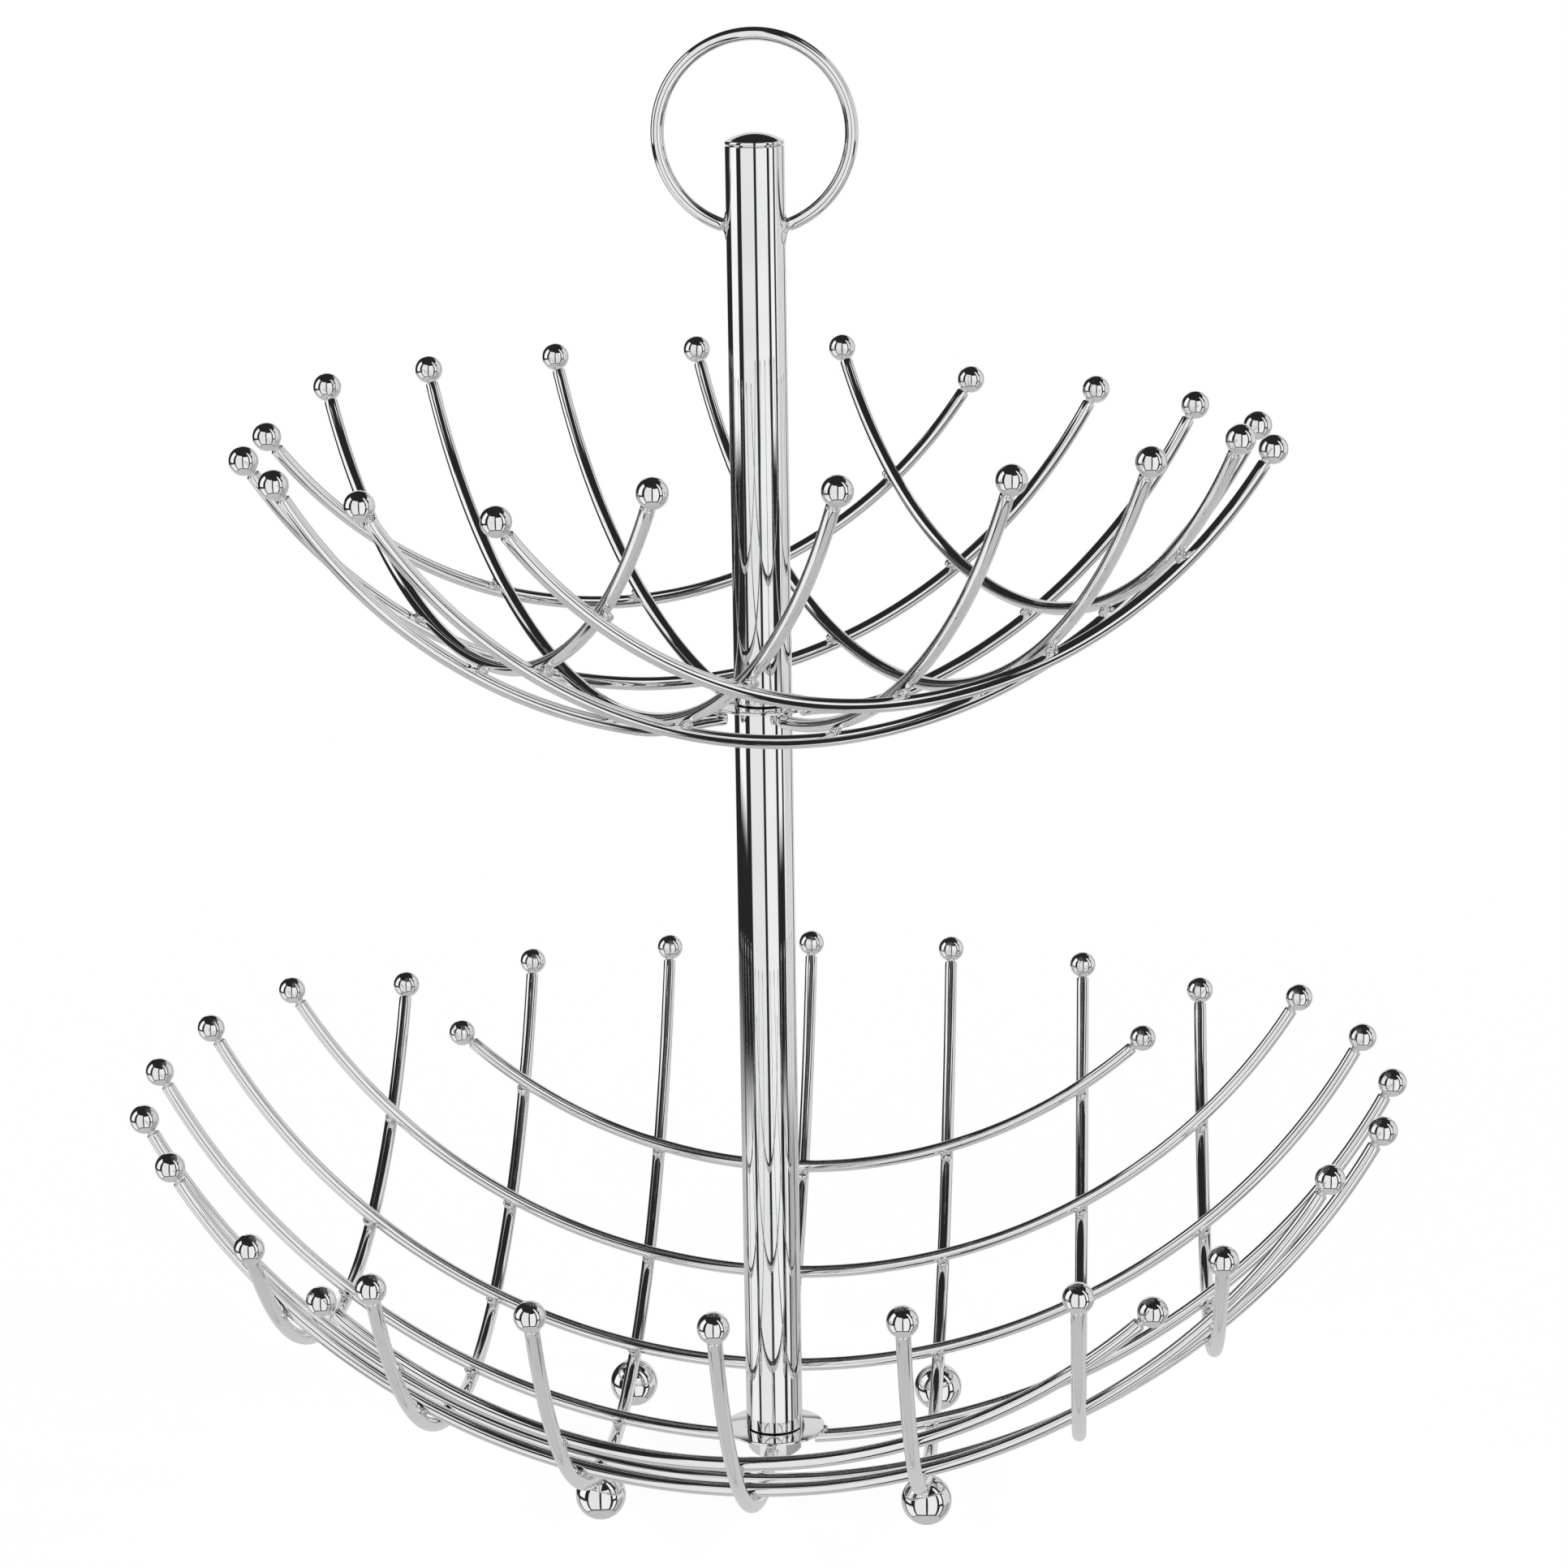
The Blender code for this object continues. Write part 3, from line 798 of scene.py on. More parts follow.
@dataclass(frozen=True)
class RodStock:
    """A straight rod before it is rolled, with what its ends can carry.

    The waist is a share of the neck's radius and lies between two shares of its
    length. The ball's first station stands off its pole by a small angle.
    """

    radius: float
    ball_radius: float = 0.0040
    neck_radius: float = 0.00135
    neck_length: float = 0.0006
    neck_edge: float = 0.00004
    waist: float = 0.93
    waist_run: tuple[float, float] = (0.3, 0.7)
    ball_pole: float = 0.04
    ball_steps: int = 16
    corner: float = 0.00045
    corner_steps: int = 4
    pitch: float = 0.0030
    sides: int = 28

    def ball_end(self) -> Profile:
        """Lay out an end with a ball welded to it.

        Returns:
            (distance, radius) stations from the ball's outer pole to the full rod.
        """
        neck = math.pi - math.asin(self.neck_radius / self.ball_radius)
        angles = [self.ball_pole + (neck - self.ball_pole) * step / self.ball_steps
                  for step in range(self.ball_steps + 1)]
        ball = [(-self.ball_radius * math.cos(a), self.ball_radius * math.sin(a))
                for a in angles]
        root = ball[-1][0]
        face = root + self.neck_length
        waist = self.neck_radius * self.waist
        necked = [(root + self.neck_length * share, waist) for share in self.waist_run]
        necked.append((face - self.neck_edge, self.neck_radius))
        return ball + necked + [(face + x, r) for x, r in self.blunt_end()]

    def blunt_end(self) -> Profile:
        """List (distance, radius) stations of a sheared end with a rounded corner."""
        centre = (self.radius - self.corner, self.corner)
        return [(x, r) for r, x in arc(centre, self.corner, -90, 0, self.corner_steps)]

    def blank(self, name: str, start: float, end: float, ball_at_start: bool,
              ball_at_end: bool) -> bpy.types.Mesh:
        """Lay out a straight rod as a chain of edges with its radius at each vertex.

        Args:
            name: the mesh's name.
            start: where the rod begins: the centre of its ball, or its sheared face.
            end: where it ends.
            ball_at_start: True for a ball there.
            ball_at_end: True for a ball there.

        Returns:
            The chain, along +X.
        """
        first = self.ball_end() if ball_at_start else self.blunt_end()
        last = self.ball_end() if ball_at_end else self.blunt_end()
        stations = [(start + x, r) for x, r in first]
        finish = [(end - x, r) for x, r in reversed(last)]
        low, high = stations[-1][0], finish[0][0]
        count = max(2, math.ceil((high - low) / self.pitch))
        stations += [(low + (high - low) * step / count, self.radius)
                     for step in range(1, count)]
        stations += finish
        mesh = bpy.data.meshes.new(name)
        mesh.from_pydata([(x, 0.0, 0.0) for x, _ in stations],
                         [(i, i + 1) for i in range(len(stations) - 1)], [])
        girths = mesh.attributes.new(GIRTH, "FLOAT", "POINT")
        girths.data.foreach_set("value", [r for _, r in stations])
        return mesh


@dataclass(frozen=True)
class WeldSpot:
    """One weld bead: where it sits, which way its flat side faces, and its spread."""

    place: Vector
    facing: Vector
    spread: Spread = (1.0, 1.0, 0.55)


@dataclass
class WeldBeads:
    """The weld beads of one body, made as one mesh."""

    name: str
    body: str
    spots: list[WeldSpot] = field(default_factory=list)
    bead_radius: float = 0.0018
    size_change: float = 0.16
    roughness: float = 0.0003
    seed: int = 7

    def build(self, shop: Workshop) -> None:
        """Make the beads and hand them over.

        Args:
            shop: the trees and finishes.
        """
        base = bpy.data.meshes.new(self.name)
        base.from_pydata([spot.place for spot in self.spots], [], [])
        for name, values in ((FACING, [s.facing for s in self.spots]),
                             (SPREAD, [s.spread for s in self.spots])):
            layer = base.attributes.new(name, "FLOAT_VECTOR", "POINT")
            layer.data.foreach_set("vector", [number for row in values for number in row])
        mesh = run_tree(self.name, base, shop.beads, {
            "Bead Radius": self.bead_radius, "Size Change": self.size_change,
            "Roughness": self.roughness, "Seed": self.seed,
            "Material": WELD_CHROME.material(shop.groups)})
        shop.deliver(self.name, mesh, WELD_CHROME, self.body)


# -------------------------------------------------------------------------- baskets


@dataclass
class WireBasket:
    """A bowl of ribs and cross wires that lie on two concentric spheres."""

    name: str
    body: str
    rim_radius: float
    depth: float
    count: int
    rib_step: float
    cross_step: float
    cross_trim: float
    turn: float
    cross_sides: tuple[str, str]
    rib_sides: tuple[str, str]
    wire: RodStock = RodStock(radius=0.0019)
    gap: float = 0.0003
    disc_edge: float = 0.00025
    bore_radius: float = 0.0043
    middle_weld: float = 0.0028
    hub_run: float = 0.0260
    hub_weld_inset: float = 0.0001
    hub_weld_spread: Spread = (0.62, 0.62, 0.42)

    @property
    def pitch(self) -> float:
        """Distance between the two layers' centrelines."""
        return 2 * self.wire.radius + self.gap

    @property
    def radius(self) -> float:
        """Radius of the sphere that the cross wires lie on."""
        return (self.rim_radius ** 2 + self.depth ** 2) / (2 * self.depth)

    @property
    def disc_box(self) -> tuple[Vector, Vector]:
        """Lowest and highest corner of the hub disc in the frame."""
        return node_box(f"{self.name}_disc")

    @property
    def disc_radius(self) -> float:
        """Radius of the hub disc."""
        low, high = self.disc_box
        return (high.x - low.x) / 2

    @property
    def hub_start(self) -> float:
        """Where the middle wires end under the disc, from the column's axis."""
        return self.disc_radius - self.middle_weld

    @property
    def base(self) -> float:
        """Height of the cross wires' lowest point, which the disc's edge sits on."""
        sag = self.rise(0.0, self.disc_radius, 0.0)
        return self.disc_box[0].z - sag - self.wire.radius - self.gap

    def rise(self, drop: float, x: float, y: float) -> float:
        """Height of a layer over the cross wires' lowest point.

        Args:
            drop: how far the layer lies outside the cross wires' sphere.
            x: distance from the axis one way.
            y: distance from the axis the other way.

        Returns:
            The height.
        """
        sphere = self.radius + drop
        return sphere - math.sqrt(sphere ** 2 - x * x - y * y) - drop

    def indices(self) -> range:
        """Number the wires of a layer; 0 is the middle one."""
        half = self.count // 2
        return range(-half, half + 1)

    def offset(self, index: int, is_rib: bool) -> float:
        """Distance of a wire from the middle of its layer."""
        return self.rim_radius * math.sin(index * (self.rib_step if is_rib else self.cross_step))

    def reach(self, index: int, is_rib: bool) -> float:
        """Measure from the middle of a wire to the centre of its end ball.

        Args:
            index: the wire's number in its layer.
            is_rib: True for the layer underneath.

        Returns:
            The level distance.
        """
        half_length = math.sqrt(self.rim_radius ** 2 - self.offset(index, is_rib) ** 2)
        if not is_rib and abs(index) == self.count // 2:
            half_length -= self.cross_trim
        return half_length

    def build_wire(self, shop: Workshop, node: str, index: int, is_rib: bool,
                   start: float, end: float) -> None:
        """Roll one wire to the bowl.

        Args:
            shop: the trees and finishes.
            node: the frame node that the wire stands for.
            index: its number in its layer.
            is_rib: True for the layer underneath.
            start: first place along it, measured level from the middle.
            end: last place along it.
        """
        drop = self.pitch if is_rib else 0.0
        across = self.offset(index, is_rib)
        sphere = self.radius + drop
        bend = math.sqrt(sphere ** 2 - across ** 2)
        blank = self.wire.blank(node, bend * math.asin(start / bend),
                                bend * math.asin(end / bend),
                                abs(start) > self.hub_start, abs(end) > self.hub_start)
        mesh = run_tree(node + "_guide", blank, shop.roll, {
            "Bend Radius": bend, "Centre Height": self.base + sphere - drop, "Across": across,
            "Turn": self.turn + (math.pi / 2 if is_rib else 0.0),
            "Hub Start": self.hub_start, "Hub Run": self.hub_run,
            "Hub Lift": self.pitch if is_rib and index == 0 else 0.0,
            "Sides": self.wire.sides, "Material": WIRE_CHROME.material(shop.groups)})
        shop.deliver(node + "_plated", mesh, WIRE_CHROME, self.body, [node])

    def build_layer(self, shop: Workshop, is_rib: bool) -> None:
        """Roll every wire of a layer; the middle one is two, cut at the column.

        Args:
            shop: the trees and finishes.
            is_rib: True for the layer underneath.
        """
        kind = "rib" if is_rib else "cross_wire"
        sides = self.rib_sides if is_rib else self.cross_sides
        for index in self.indices():
            node = f"{self.name}_{kind}_{index + self.count // 2 + 1}"
            reach = self.reach(index, is_rib)
            if index:
                self.build_wire(shop, node, index, is_rib, -reach, reach)
                continue
            self.build_wire(shop, f"{node}_{sides[0]}", 0, is_rib, -reach, -self.hub_start)
            self.build_wire(shop, f"{node}_{sides[1]}", 0, is_rib, self.hub_start, reach)

    def build_disc(self, shop: Workshop) -> None:
        """Turn the thin hub disc with its rolled edge.

        Args:
            shop: the trees and finishes.
        """
        low, high = self.disc_box
        node = f"{self.name}_disc"
        mesh = sleeve(node, self.bore_radius, self.disc_radius, low.z, high.z, self.disc_edge)
        shop.deliver(node + "_plated", mesh, DISC_CHROME, self.body, [node])

    def place(self, x: float, y: float, z: float) -> Vector:
        """Turn a point of the bowl about the column to where it lies in the stand."""
        return Matrix.Rotation(self.turn, 3, "Z") @ Vector((x, y, self.base + z))

    def weld_spots(self) -> list[WeldSpot]:
        """Find every weld of the basket: at the crossings and round the hub.

        Returns:
            The weld spots.
        """
        spots = []
        centre = Vector((0.0, 0.0, self.radius))
        for rib in self.indices():
            for cross in self.indices():
                x = -self.offset(rib, True)
                y = self.offset(cross, False)
                if (rib == 0 and cross == 0) or abs(x) > self.reach(cross, False):
                    continue
                spot = Vector((x, y, self.rise(self.pitch / 2, x, y)))
                facing = Matrix.Rotation(self.turn, 3, "Z") @ (centre - spot)
                spots.append(WeldSpot(self.place(*spot), facing))
        out = self.disc_radius - self.hub_weld_inset
        height = self.disc_box[0].z - self.base
        for quarter in range(4):
            angle = quarter * math.pi / 2
            spots.append(WeldSpot(
                self.place(out * math.cos(angle), out * math.sin(angle), height),
                Vector((0.0, 0.0, 1.0)), self.hub_weld_spread))
        return spots

    def build(self, shop: Workshop) -> None:
        """Build both layers of wires and the hub disc.

        Args:
            shop: the trees and finishes.
        """
        self.build_layer(shop, is_rib=False)
        self.build_layer(shop, is_rib=True)
        self.build_disc(shop)


# ---------------------------------------------------------------------------- feet


@dataclass
class BallFeet:
    """Four ball feet, each welded under a rib with the rib sunk in its top.

    The drops and the way out of a weld are shares of the wire's radius.
    """

    basket: WireBasket
    flat_radius: float = 0.0015
    saddle_clearance: float = 0.00004
    saddle_sides: int = 48
    sides: int = 64
    rows: int = 48
    end_weld_drop: float = 0.95
    end_weld_spread: Spread = (0.62, 0.50, 0.42)
    side_weld_out: float = 0.95
    side_weld_drop: float = 0.45
    side_weld_lean: float = 0.7
    side_weld_spread: Spread = (0.40, 1.05, 0.30)

    def mill_saddle(self, foot: bpy.types.Object, middle: Vector, way: Vector,
                    length: float) -> bpy.types.Mesh:
        """Mill a round groove for the rib into the top of a foot.

        Args:
            foot: the plain ball, which is used up.
            middle: a point on the rib's centreline over the foot.
            way: the rib's direction there.
            length: of the cutter.

        Returns:
            The foot's finished mesh.
        """
        radius = self.basket.wire.radius + self.saddle_clearance
        shape = bmesh.new()
        bmesh.ops.create_cone(shape, cap_ends=True, segments=self.saddle_sides,
                              depth=length, radius1=radius, radius2=radius)
        turn = Vector((0.0, 0.0, 1.0)).rotation_difference(way).to_matrix().to_4x4()
        bmesh.ops.transform(shape, verts=shape.verts,
                            matrix=Matrix.Translation(middle) @ turn)
        cutter = add_object(foot.name + "_saddle", plain_mesh(foot.name + "_saddle", shape))
        cut = foot.modifiers.new("saddle", "BOOLEAN")
        cut.operation = "DIFFERENCE"
        cut.solver = "EXACT"
        cut.object = cutter
        finished = freeze(foot)
        bpy.data.objects.remove(cutter, do_unlink=True)
        return finished

    def weld_spots(self, middle: Vector, way: Vector, reach: float) -> list[WeldSpot]:
        """Find a foot's welds: one at each end of its saddle and one on each side.

        Args:
            middle: a point on the rib's centreline over the foot.
            way: the rib's direction there.
            reach: distance from there to where the rib leaves the saddle.

        Returns:
            The foot's weld spots.
        """
        wire = self.basket.wire.radius
        drop = Vector((0.0, 0.0, -wire * self.end_weld_drop))
        spots = []
        for end in (-1, 1):
            spots.append(WeldSpot(middle + drop + way * end * reach, way * end,
                                  self.end_weld_spread))
            side = Vector((end * wire * self.side_weld_out, 0.0, -wire * self.side_weld_drop))
            spots.append(WeldSpot(middle + side, Vector((end, 0.0, self.side_weld_lean)),
                                  self.side_weld_spread))
        return spots

    def build_foot(self, shop: Workshop, node: str) -> list[WeldSpot]:
        """Turn one ball with its flat, mill its saddle and find its welds.

        Args:
            shop: the trees and finishes.
            node: the frame node that the foot stands for.

        Returns:
            The foot's weld spots.
        """
        low, high = node_box(node)
        radius = (high.x - low.x) / 2
        across = (low.x + high.x) / 2
        along = (low.y + high.y) / 2
        centre = math.sqrt(radius ** 2 - self.flat_radius ** 2)
        lean = math.degrees(math.asin(self.flat_radius / radius))
        profile = arc((0.0, centre), radius, 90, lean - 90, self.rows) + [(0.0, 0.0)]
        profile[0] = (0.0, centre + radius)
        mesh = turned(node, profile, self.sides, closed=False)
        mesh.transform(Matrix.Translation((across, along, 0.0)))
        foot = add_object(node + "_ball", mesh)
        pitch = self.basket.pitch
        sphere = self.basket.radius + pitch
        top = self.basket.base + self.basket.rise(pitch, across, along)
        slope = along / math.sqrt(sphere ** 2 - across ** 2 - along ** 2)
        middle = Vector((across, along, top))
        way = Vector((0.0, 1.0, slope)).normalized()
        finished = self.mill_saddle(foot, middle, way, radius * 4)
        shop.deliver(node + "_plated", finished, FOOT_CHROME, self.basket.body, [node])
        under = top - self.basket.wire.radius - centre
        return self.weld_spots(middle, way, math.sqrt(max(radius ** 2 - under ** 2, 0.0)))

    def build(self, shop: Workshop) -> list[WeldSpot]:
        """Build the four feet.

        Args:
            shop: the trees and finishes.

        Returns:
            The weld spots of all four.
        """
        spots = []
        for end in ("front", "back"):
            for side in ("left", "right"):
                spots += self.build_foot(shop, f"foot_{end}_{side}")
        return spots


# --------------------------------------------------------------------------- column


@dataclass
class Column:
    """The fixed part of the column: its tube, studs, inserts and nut.

    The crest and the flank of the thread are shares of half its pitch.
    """

    body: str = "base"
    wall: float = 0.0010
    end_round: float = 0.0003
    tube_sides: int = 128
    thread_pitch: float = 0.00125
    thread_depth: float = 0.00055
    thread_crest: float = 0.12
    thread_flank: float = 0.76
    thread_rows: int = 8
    stud_chamfer: float = 0.0008
    stud_sides: int = 40
    nut_across_flats: float = 0.0130
    nut_bore: float = 0.0043
    nut_face: float = 0.96
    nut_sink: float = 0.0004
    nut_chamfer: float = math.radians(30)
    nut_sides: int = 144

    def build_tube(self, shop: Workshop, node: str, body: str) -> None:
        """Draw a tube with its end edges rounded over.

        Args:
            shop: the trees and finishes.
            node: the frame node that the tube stands for.
            body: the body that it moves with.
        """
        low, high = node_box(node)
        outer = (high.x - low.x) / 2
        mesh = sleeve(node, outer - self.wall, outer, low.z, high.z, self.end_round,
                      self.tube_sides)
        shop.deliver(node + "_plated", mesh, TUBE_CHROME, body, [node])

    def build_stud(self, shop: Workshop, node: str) -> None:
        """Roll a threaded stud: a helix cut into a chamfered rod.

        Args:
            shop: the trees and finishes.
            node: the frame node that the stud stands for.
        """
        low, high = node_box(node)
        radius = (high.x - low.x) / 2
        rows = math.ceil((high.z - low.z) / self.thread_pitch * self.thread_rows)
        heights = [high.z - (high.z - low.z) * row / rows for row in range(rows + 1)]

        def cut(angle: float, full: float, height: float) -> float:
            """Find the thread's radius, with the stud's ends chamfered.

            Args:
                angle: round the stud.
                full: the uncut radius.
                height: up the stud.

            Returns:
                The radius.
            """
            turns = (height / self.thread_pitch - angle / (2 * math.pi)) % 1.0
            share = (abs(turns - 0.5) * 2 - self.thread_crest) / self.thread_flank
            groove = self.thread_depth * min(max(share, 0.0), 1.0)
            end = min(high.z - height, height - low.z)
            return min(full - groove, full - self.stud_chamfer + end)

        profile = [(0.0, high.z)] + [(radius, height) for height in heights] + [(0.0, low.z)]
        mesh = turned(node, profile, self.stud_sides, closed=False, reach=cut)
        shop.deliver(node + "_threaded", mesh, ZINC, self.body, [node])

    def build_nut(self, shop: Workshop) -> None:
        """Forge the hexagon nut, with both faces chamfered and the bore countersunk.

        Args:
            shop: the trees and finishes.
        """
        low, high = node_box("base_nut")
        apothem = self.nut_across_flats / 2
        face = apothem * self.nut_face
        corner = apothem / math.cos(math.pi / 6)
        mouth = self.nut_bore + self.nut_sink

        def side(angle: float, radius: float, height: float) -> float:
            """Widen the nut's outline from its round faces to its hexagon."""
            hexagon = apothem / math.cos(angle % (math.pi / 3) - math.pi / 6)
            return hexagon if radius > face else radius

        profile = [(self.nut_bore, high.z - self.nut_sink), (mouth, high.z), (face, high.z),
                   (corner, high.z), (corner, low.z), (face, low.z),
                   (mouth, low.z), (self.nut_bore, low.z + self.nut_sink)]
        mesh = turned("base_nut", profile, self.nut_sides, closed=True, reach=side)
        middle = (low.z + high.z) / 2
        half = (high.z - low.z) / 2
        fall = math.tan(self.nut_chamfer)
        for vertex in mesh.vertices:
            out = math.hypot(vertex.co.x, vertex.co.y) - face
            if out > MERGE_DISTANCE:
                sign = 1 if vertex.co.z > middle else -1
                vertex.co.z = middle + sign * (half - out * fall)
        shop.deliver("base_nut_plated", mesh, NUT_CHROME_PAINTED_LIGHT, self.body, ["base_nut"])

    def build(self, shop: Workshop) -> None:
        """Build the lower tube with what clamps it.

        Args:
            shop: the trees and finishes.
        """
        self.build_tube(shop, "lower_tube", self.body)
        self.build_stud(shop, "base_stud")
        self.build_stud(shop, "joint_stud")
        self.build_nut(shop)
        for node in ("lower_tube_bottom_insert", "lower_tube_top_insert"):
            shop.redress(node, ZINC)


@dataclass(frozen=True)
class RingWeld:
    """A fillet of weld that flows from one end of the ring onto the tube.

    The runs say how much further than round it reaches up and down the tube. The
    outline's radii are shares of the neck, and its distances are from the tube.
    """

    name: str
    side: int
    run_up: float
    run_down: float
    neck: float = 0.78
    outline: tuple[tuple[float, float], ...] = (
        (0.0, 0.0019), (1.0, 0.0019), (0.97, 0.0014), (1.0, 0.0010), (1.10, 0.0006),
        (1.30, 0.0003), (1.62, 0.0001), (1.75, -0.0003), (1.75, -0.0008), (0.0, -0.0008))
    flow_start: float = 0.0011
    flow_run: float = 0.0012
    flow_power: float = 1.5
    wobble: float = 0.04
    wobbles: int = 5
    sides: int = 48

    def build(self, shop: Workshop, body: str, rod: float, wall: float, height: float) -> None:
        """Turn the fillet, stretch it and lay it against the tube.

        Args:
            shop: the trees and finishes.
            body: the body that it moves with.
            rod: radius of the ring's rod.
            wall: distance of the tube's outside from its axis.
            height: of the ring's end.
        """
        neck = rod * self.neck
        profile = [(neck * share, wall + out) for share, out in self.outline]

        def flow(angle: float, radius: float, distance: float) -> float:
            """Stretch the weld up and down the tube, most where it meets it.

            Args:
                angle: round the ring's rod, from straight up.
                radius: of the outline there.
                distance: from the column's axis.

            Returns:
                The stretched radius.
            """
            near = (wall + self.flow_start - distance) / self.flow_run
            share = min(max(near, 0.0), 1.0) ** self.flow_power
            run = self.run_up if math.cos(angle) > 0.0 else self.run_down
            uneven = self.wobble * math.sin(self.wobbles * angle + self.side) * share
            return radius * (1.0 + uneven + run * share * math.cos(angle) ** 2)

        mesh = turned(self.name, profile, self.sides, closed=False, reach=flow)
        side = self.side
        lay = Matrix(((0.0, 0.0, side), (0.0, -side, 0.0), (1.0, 0.0, 0.0))).to_4x4()
        mesh.transform(Matrix.Translation((0.0, 0.0, height)) @ lay)
        shop.deliver(self.name, mesh, WELD_CHROME, body)


@dataclass
class HandleColumn:
    """The upper tube with its domed cap and the ring handle, which turn as one."""

    column: Column
    body: str = "handle_column"
    ring: RodStock = RodStock(radius=0.0018, corner=0.0004, pitch=0.0012, sides=32)
    welds: tuple[RingWeld, ...] = (RingWeld("ring_weld_left", -1, 0.9, 0.9),
                                   RingWeld("ring_weld_right", 1, 0.3, 1.7))
    gap: float = 0.0003
    dome_rows: int = 24
    cap_rim_height: float = 0.0010
    cap_rim_round: float = 0.0004
    cap_rim_start: float = 70.0
    cap_seat_steps: int = 3
    cap_spigot_length: float = 0.0080

    def build_cap(self, shop: Workshop) -> None:
        """Turn the cap: a low dome over a short rim, with a spigot inside the tube.

        Args:
            shop: the trees and finishes.
        """
        low, high = node_box("top_cap")
        radius = (high.x - low.x) / 2
        spigot = radius - self.column.wall - self.gap
        seat = low.z + self.cap_spigot_length + self.gap
        rim_top = seat + self.cap_rim_height
        edge = self.cap_rim_round
        dome = high.z - rim_top
        span = radius - edge
        curve = (span ** 2 + dome ** 2) / (2 * dome)
        sweep = math.degrees(math.asin(span / curve))
        profile = arc((0.0, high.z - curve), curve, 90, 90 - sweep, self.dome_rows)
        profile[0] = (0.0, high.z)
        profile += arc((span, rim_top - edge), edge, self.cap_rim_start, 0, EDGE_STEPS)
        profile += arc((radius - edge / 2, seat + edge / 2), edge / 2, 0, -90,
                       self.cap_seat_steps)
        profile += [(spigot, seat), (spigot, low.z + edge), (spigot - edge, low.z),
                    (0.0, low.z)]
        mesh = turned("top_cap", profile, self.column.tube_sides, closed=False)
        shop.deliver("top_cap_plated", mesh, CAP_CHROME, self.body, ["top_cap"])

    def build_ring(self, shop: Workshop) -> None:
        """Roll the ring handle and weld its two ends to the tube.

        Args:
            shop: the trees and finishes.
        """
        low, high = node_box("ring_handle")
        tube_low, tube_high = node_box("upper_tube")
        wall = (tube_high.x - tube_low.x) / 2
        rod = self.ring.radius
        bend = (high.x - low.x) / 2 - rod
        centre = high.z - bend - rod
        lean = math.asin((wall + self.gap) / (bend - rod))
        start = lean * bend
        blank = self.ring.blank("ring_handle", start, 2 * math.pi * bend - start, False, False)
        mesh = run_tree("ring_handle_guide", blank, shop.roll, {
            "Bend Radius": bend, "Centre Height": centre, "Across": 0.0, "Turn": 0.0,
            "Hub Start": NO_HUB, "Hub Run": NO_HUB, "Hub Lift": 0.0, "Sides": self.ring.sides,
            "Material": WIRE_CHROME.material(shop.groups)})
        shop.deliver("ring_handle_plated", mesh, WIRE_CHROME, self.body, ["ring_handle"])
        for weld in self.welds:
            weld.build(shop, self.body, rod, wall, centre - bend * math.cos(lean))

    def build(self, shop: Workshop) -> None:
        """Build the upper tube, its insert, the cap and the ring.

        Args:
            shop: the trees and finishes.
        """
        self.column.build_tube(shop, "upper_tube", self.body)
        shop.redress("upper_tube_insert", ZINC)
        self.build_cap(shop)
        self.build_ring(shop)


# --------------------------------------------------------------------------- studio


@dataclass(frozen=True)
class Panel:
    """A stretch of the studio round the stand, as the polished metal sees it.

    Edges are in degrees: round the stand from the camera, positive to the right,
    and above the floor. The level is how bright the stretch is.
    """

    left: float
    right: float
    bottom: float
    top: float
    level: float
    soft: float = 1.2


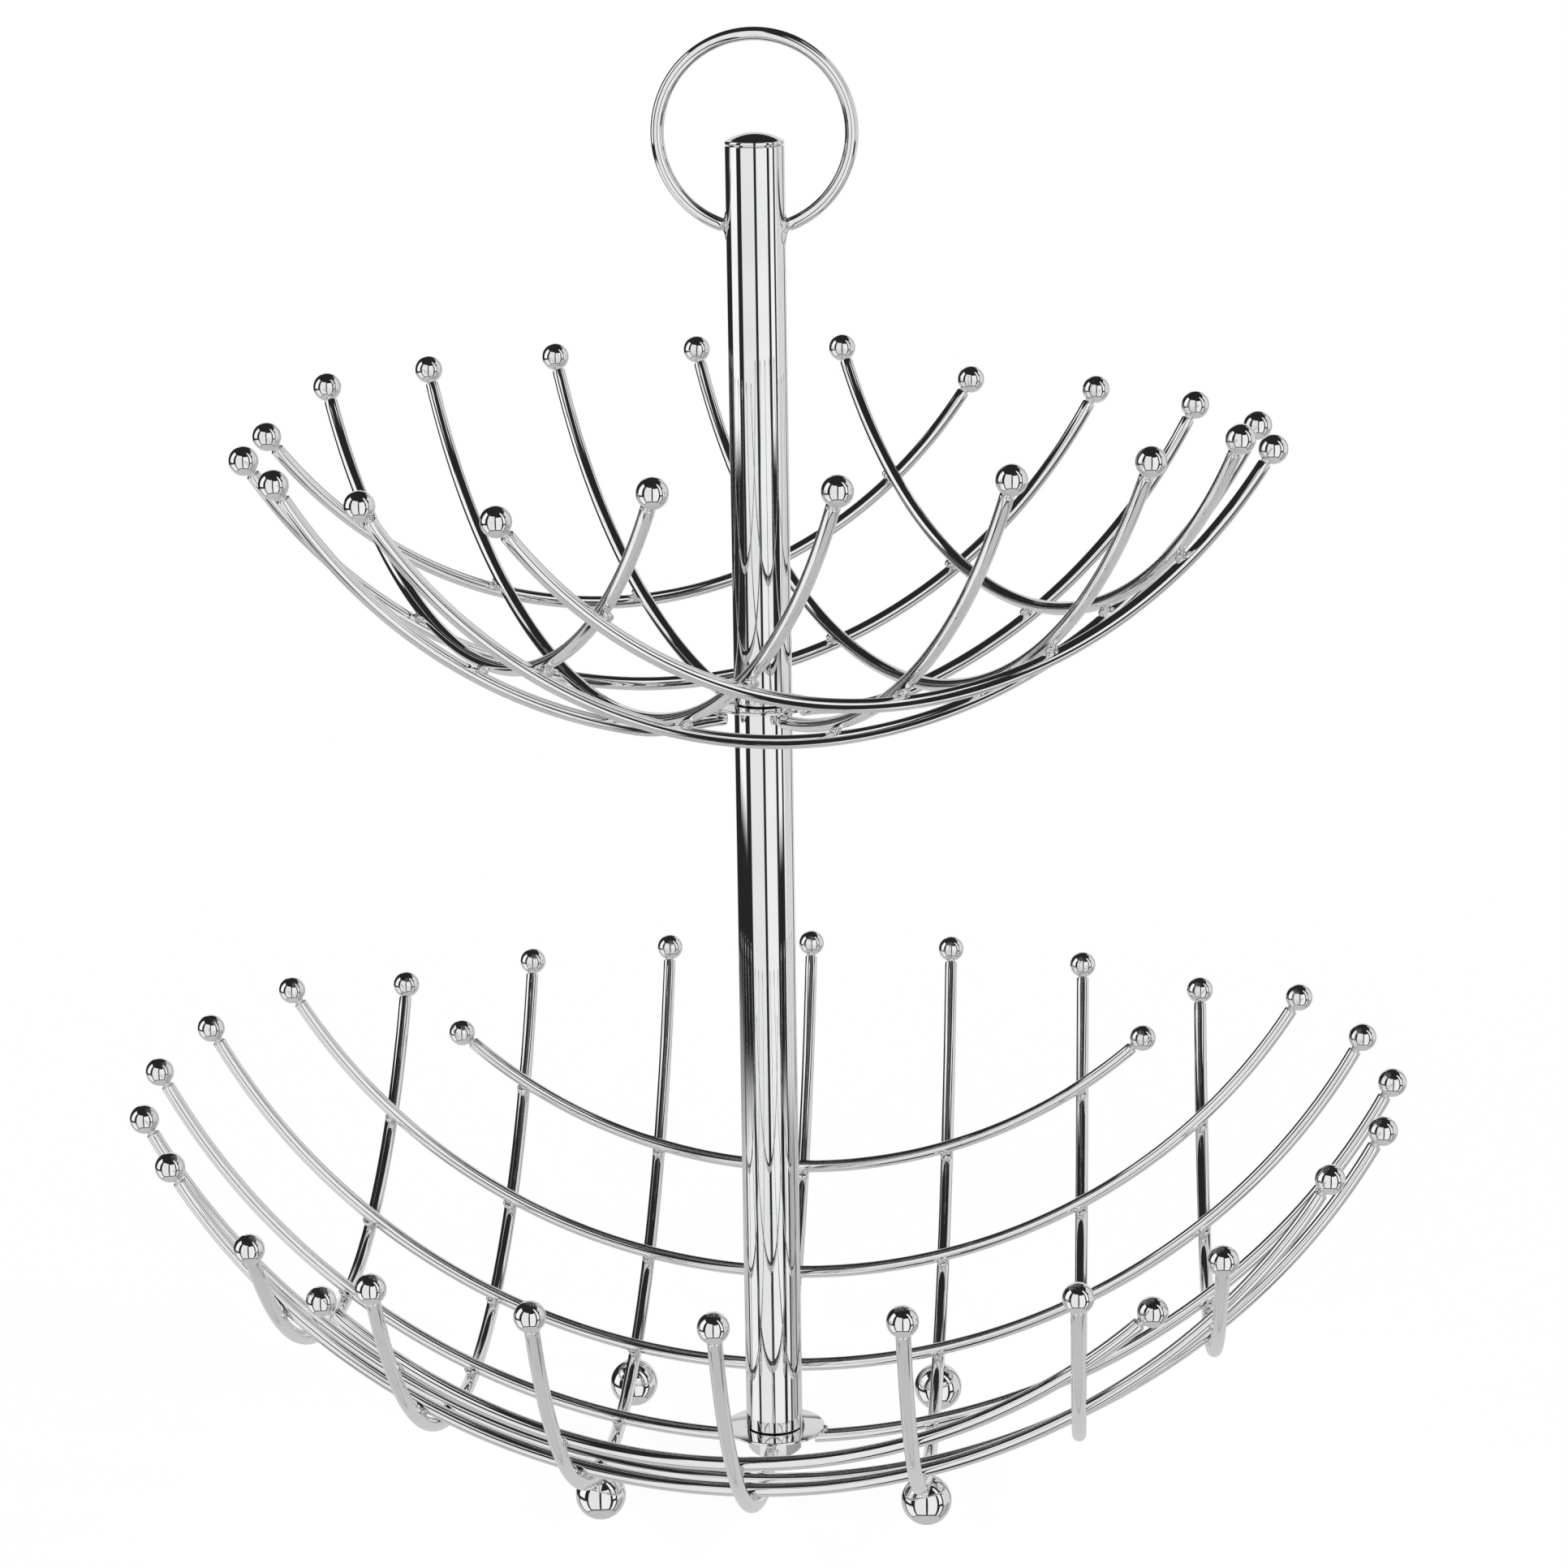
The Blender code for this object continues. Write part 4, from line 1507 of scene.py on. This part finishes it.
@dataclass
class Studio:
    """A white floor and sweep, with light and dark walls that only the metal shows.

    A later panel is laid over the ones before it. Between them and overhead the
    studio is nearly dark.
    """

    distance: float = 1.100
    height: float = 0.4575
    azimuth: float = math.radians(4.75)
    pitch: float = math.radians(13.2)
    pan: float = math.radians(0.28)
    roll: float = math.radians(-0.84)
    lens: float = 94.0
    sensor: float = 36.0
    floor_size: float = 6.0
    floor_sides: int = 96
    floor_tone: float = 0.35
    floor_roughness: float = 0.9
    floor_glow: float = 0.90
    surround: float = 0.022
    panels: tuple[Panel, ...] = (
        # the floor as the metal sees it, painted into the studio light: under the stand, behind
        # it and on both sides; its grey under and behind the stand is painted shade, the stand's
        # shadow on the white floor
        Panel(-200, 200, -90, -56, 0.58, 2.5),
        Panel(-200, -118, -56, -17, 0.62, 3.0),
        Panel(118, 200, -56, -17, 0.62, 3.0),
        Panel(-110, -66, -54, -18, 0.98, 2.0),
        Panel(60, 76, -54, -18, 0.95, 2.0),
        Panel(84, 112, -54, -18, 0.50, 3.0),
        # the walls behind, with one dark gap
        Panel(-200, -160, -17, 28, 0.76, 2.0),
        Panel(90, 200, -18, 28, 0.76, 2.0),
        Panel(88, 150, -18, 44, 0.76, 2.0),
        Panel(133, 141, -18, 50, 0.08),
        # the tall lights at the sides
        Panel(-110, -76, -9, 44, 1.08),
        Panel(57, 73, -9, 62, 1.04),
        Panel(81, 88, -18, 20, 0.98),
        # the two bright walls in front, with a dark slit between them
        Panel(-56, -5.0, -50, 44, 0.89),
        Panel(4.5, 47, -50, 36, 0.97),
    )

    def build_camera(self) -> None:
        """Place the camera a little above the upper basket, left of its axis."""
        data = bpy.data.cameras.new("studio_camera")
        data.lens = self.lens
        data.sensor_width = self.sensor
        camera = bpy.data.objects.new("studio_camera", data)
        bpy.context.scene.collection.objects.link(camera)
        spot = Vector((self.distance * math.sin(self.azimuth),
                       -self.distance * math.cos(self.azimuth), self.height))
        aim = (Matrix.Rotation(self.azimuth - self.pan, 4, "Z")
               @ Matrix.Rotation(math.pi / 2 - self.pitch, 4, "X")
               @ Matrix.Rotation(self.roll, 4, "Z"))
        camera.matrix_world = Matrix.Translation(spot) @ aim
        bpy.context.scene.camera = camera

    def build_surroundings(self) -> None:
        """Light the studio from all round, with the panels that the metal mirrors."""
        world = bpy.data.worlds.new("studio")
        world.use_nodes = True
        bpy.context.scene.world = world
        graph = Graph(world.node_tree)
        background = world.node_tree.nodes["Background"]
        way = graph.node("ShaderNodeTexCoord").outputs["Generated"]
        x, y, z = graph.separate(way)
        heading = graph.math("ARCTAN2", x, graph.math("MULTIPLY", y, -1.0))
        heading = graph.math("DEGREES", graph.math("SUBTRACT", heading, self.azimuth))
        rise = graph.math("DEGREES", graph.math("ARCSINE", z))
        level: object = self.surround
        for panel in self.panels:
            edges = ((heading, panel.left, 1), (heading, panel.right, -1),
                     (rise, panel.bottom, 1), (rise, panel.top, -1))
            mask: object = 1.0
            for angle, edge, sign in edges:
                inside = graph.ramp(angle, edge - panel.soft * sign, edge + panel.soft * sign)
                mask = graph.math("MULTIPLY", inside, mask)
            step = graph.math("MULTIPLY", mask, graph.math("SUBTRACT", panel.level, level))
            level = graph.math("ADD", level, step)
        paths = graph.node("ShaderNodeLightPath")
        graph.feed(background.inputs["Strength"],
                   graph.math("MAXIMUM", paths.outputs["Is Camera Ray"], level))
        background.inputs["Color"].default_value = (1.0, 1.0, 1.0, 1.0)

    def build_floor(self) -> None:
        """Lay a plain white floor that runs into the white sweep."""
        shape = bmesh.new()
        bmesh.ops.create_circle(shape, cap_ends=True, radius=self.floor_size,
                                segments=self.floor_sides)
        mesh = plain_mesh("floor", shape)
        floor = add_object("floor", mesh)
        # the metal doesn't see this floor; it sees the painted floor, with its painted shade, in
        # the studio light instead
        floor.visible_glossy = False
        material = bpy.data.materials.new("white_floor")
        material.use_nodes = True
        shader = material.node_tree.nodes["Principled BSDF"]
        for name, value in (("Base Color", (*(self.floor_tone,) * 3, 1.0)),
                            ("Roughness", self.floor_roughness), ("Specular IOR Level", 0.0),
                            ("Emission Color", (1.0, 1.0, 1.0, 1.0)),
                            ("Emission Strength", self.floor_glow)):
            shader.inputs[name].default_value = value
        mesh.materials.append(material)

    def build(self) -> None:
        """Build the camera, the floor and the light."""
        bpy.context.scene.view_settings.view_transform = "Standard"
        self.build_camera()
        self.build_surroundings()
        self.build_floor()


def main() -> None:
    """Build the studio and every sub-assembly of the stand, in order."""
    logging.basicConfig(level=logging.INFO, format="%(name)s %(message)s")
    Studio().build()
    shop = Workshop()
    lower = WireBasket("lower", "base", rim_radius=0.1735, depth=0.1075, count=7,
                       rib_step=math.radians(15.1), cross_step=math.radians(14.5),
                       cross_trim=0.0200, turn=0.0, cross_sides=("left", "right"),
                       rib_sides=("front", "back"))
    upper = WireBasket("upper", "upper_basket", rim_radius=0.1385, depth=0.0840, count=5,
                       rib_step=math.radians(18.3), cross_step=math.radians(18.3),
                       cross_trim=0.0, turn=math.radians(-59.3),
                       cross_sides=("back", "front"), rib_sides=("left", "right"))
    column = Column()
    handle = HandleColumn(column)
    lower.build(shop)
    foot_welds = BallFeet(lower).build(shop)
    column.build(shop)
    upper.build(shop)
    handle.build(shop)
    WeldBeads("base_welds", "base", lower.weld_spots() + foot_welds, seed=3).build(shop)
    WeldBeads("upper_basket_welds", "upper_basket", upper.weld_spots(), seed=5).build(shop)


if __name__ == "__main__":
    main()
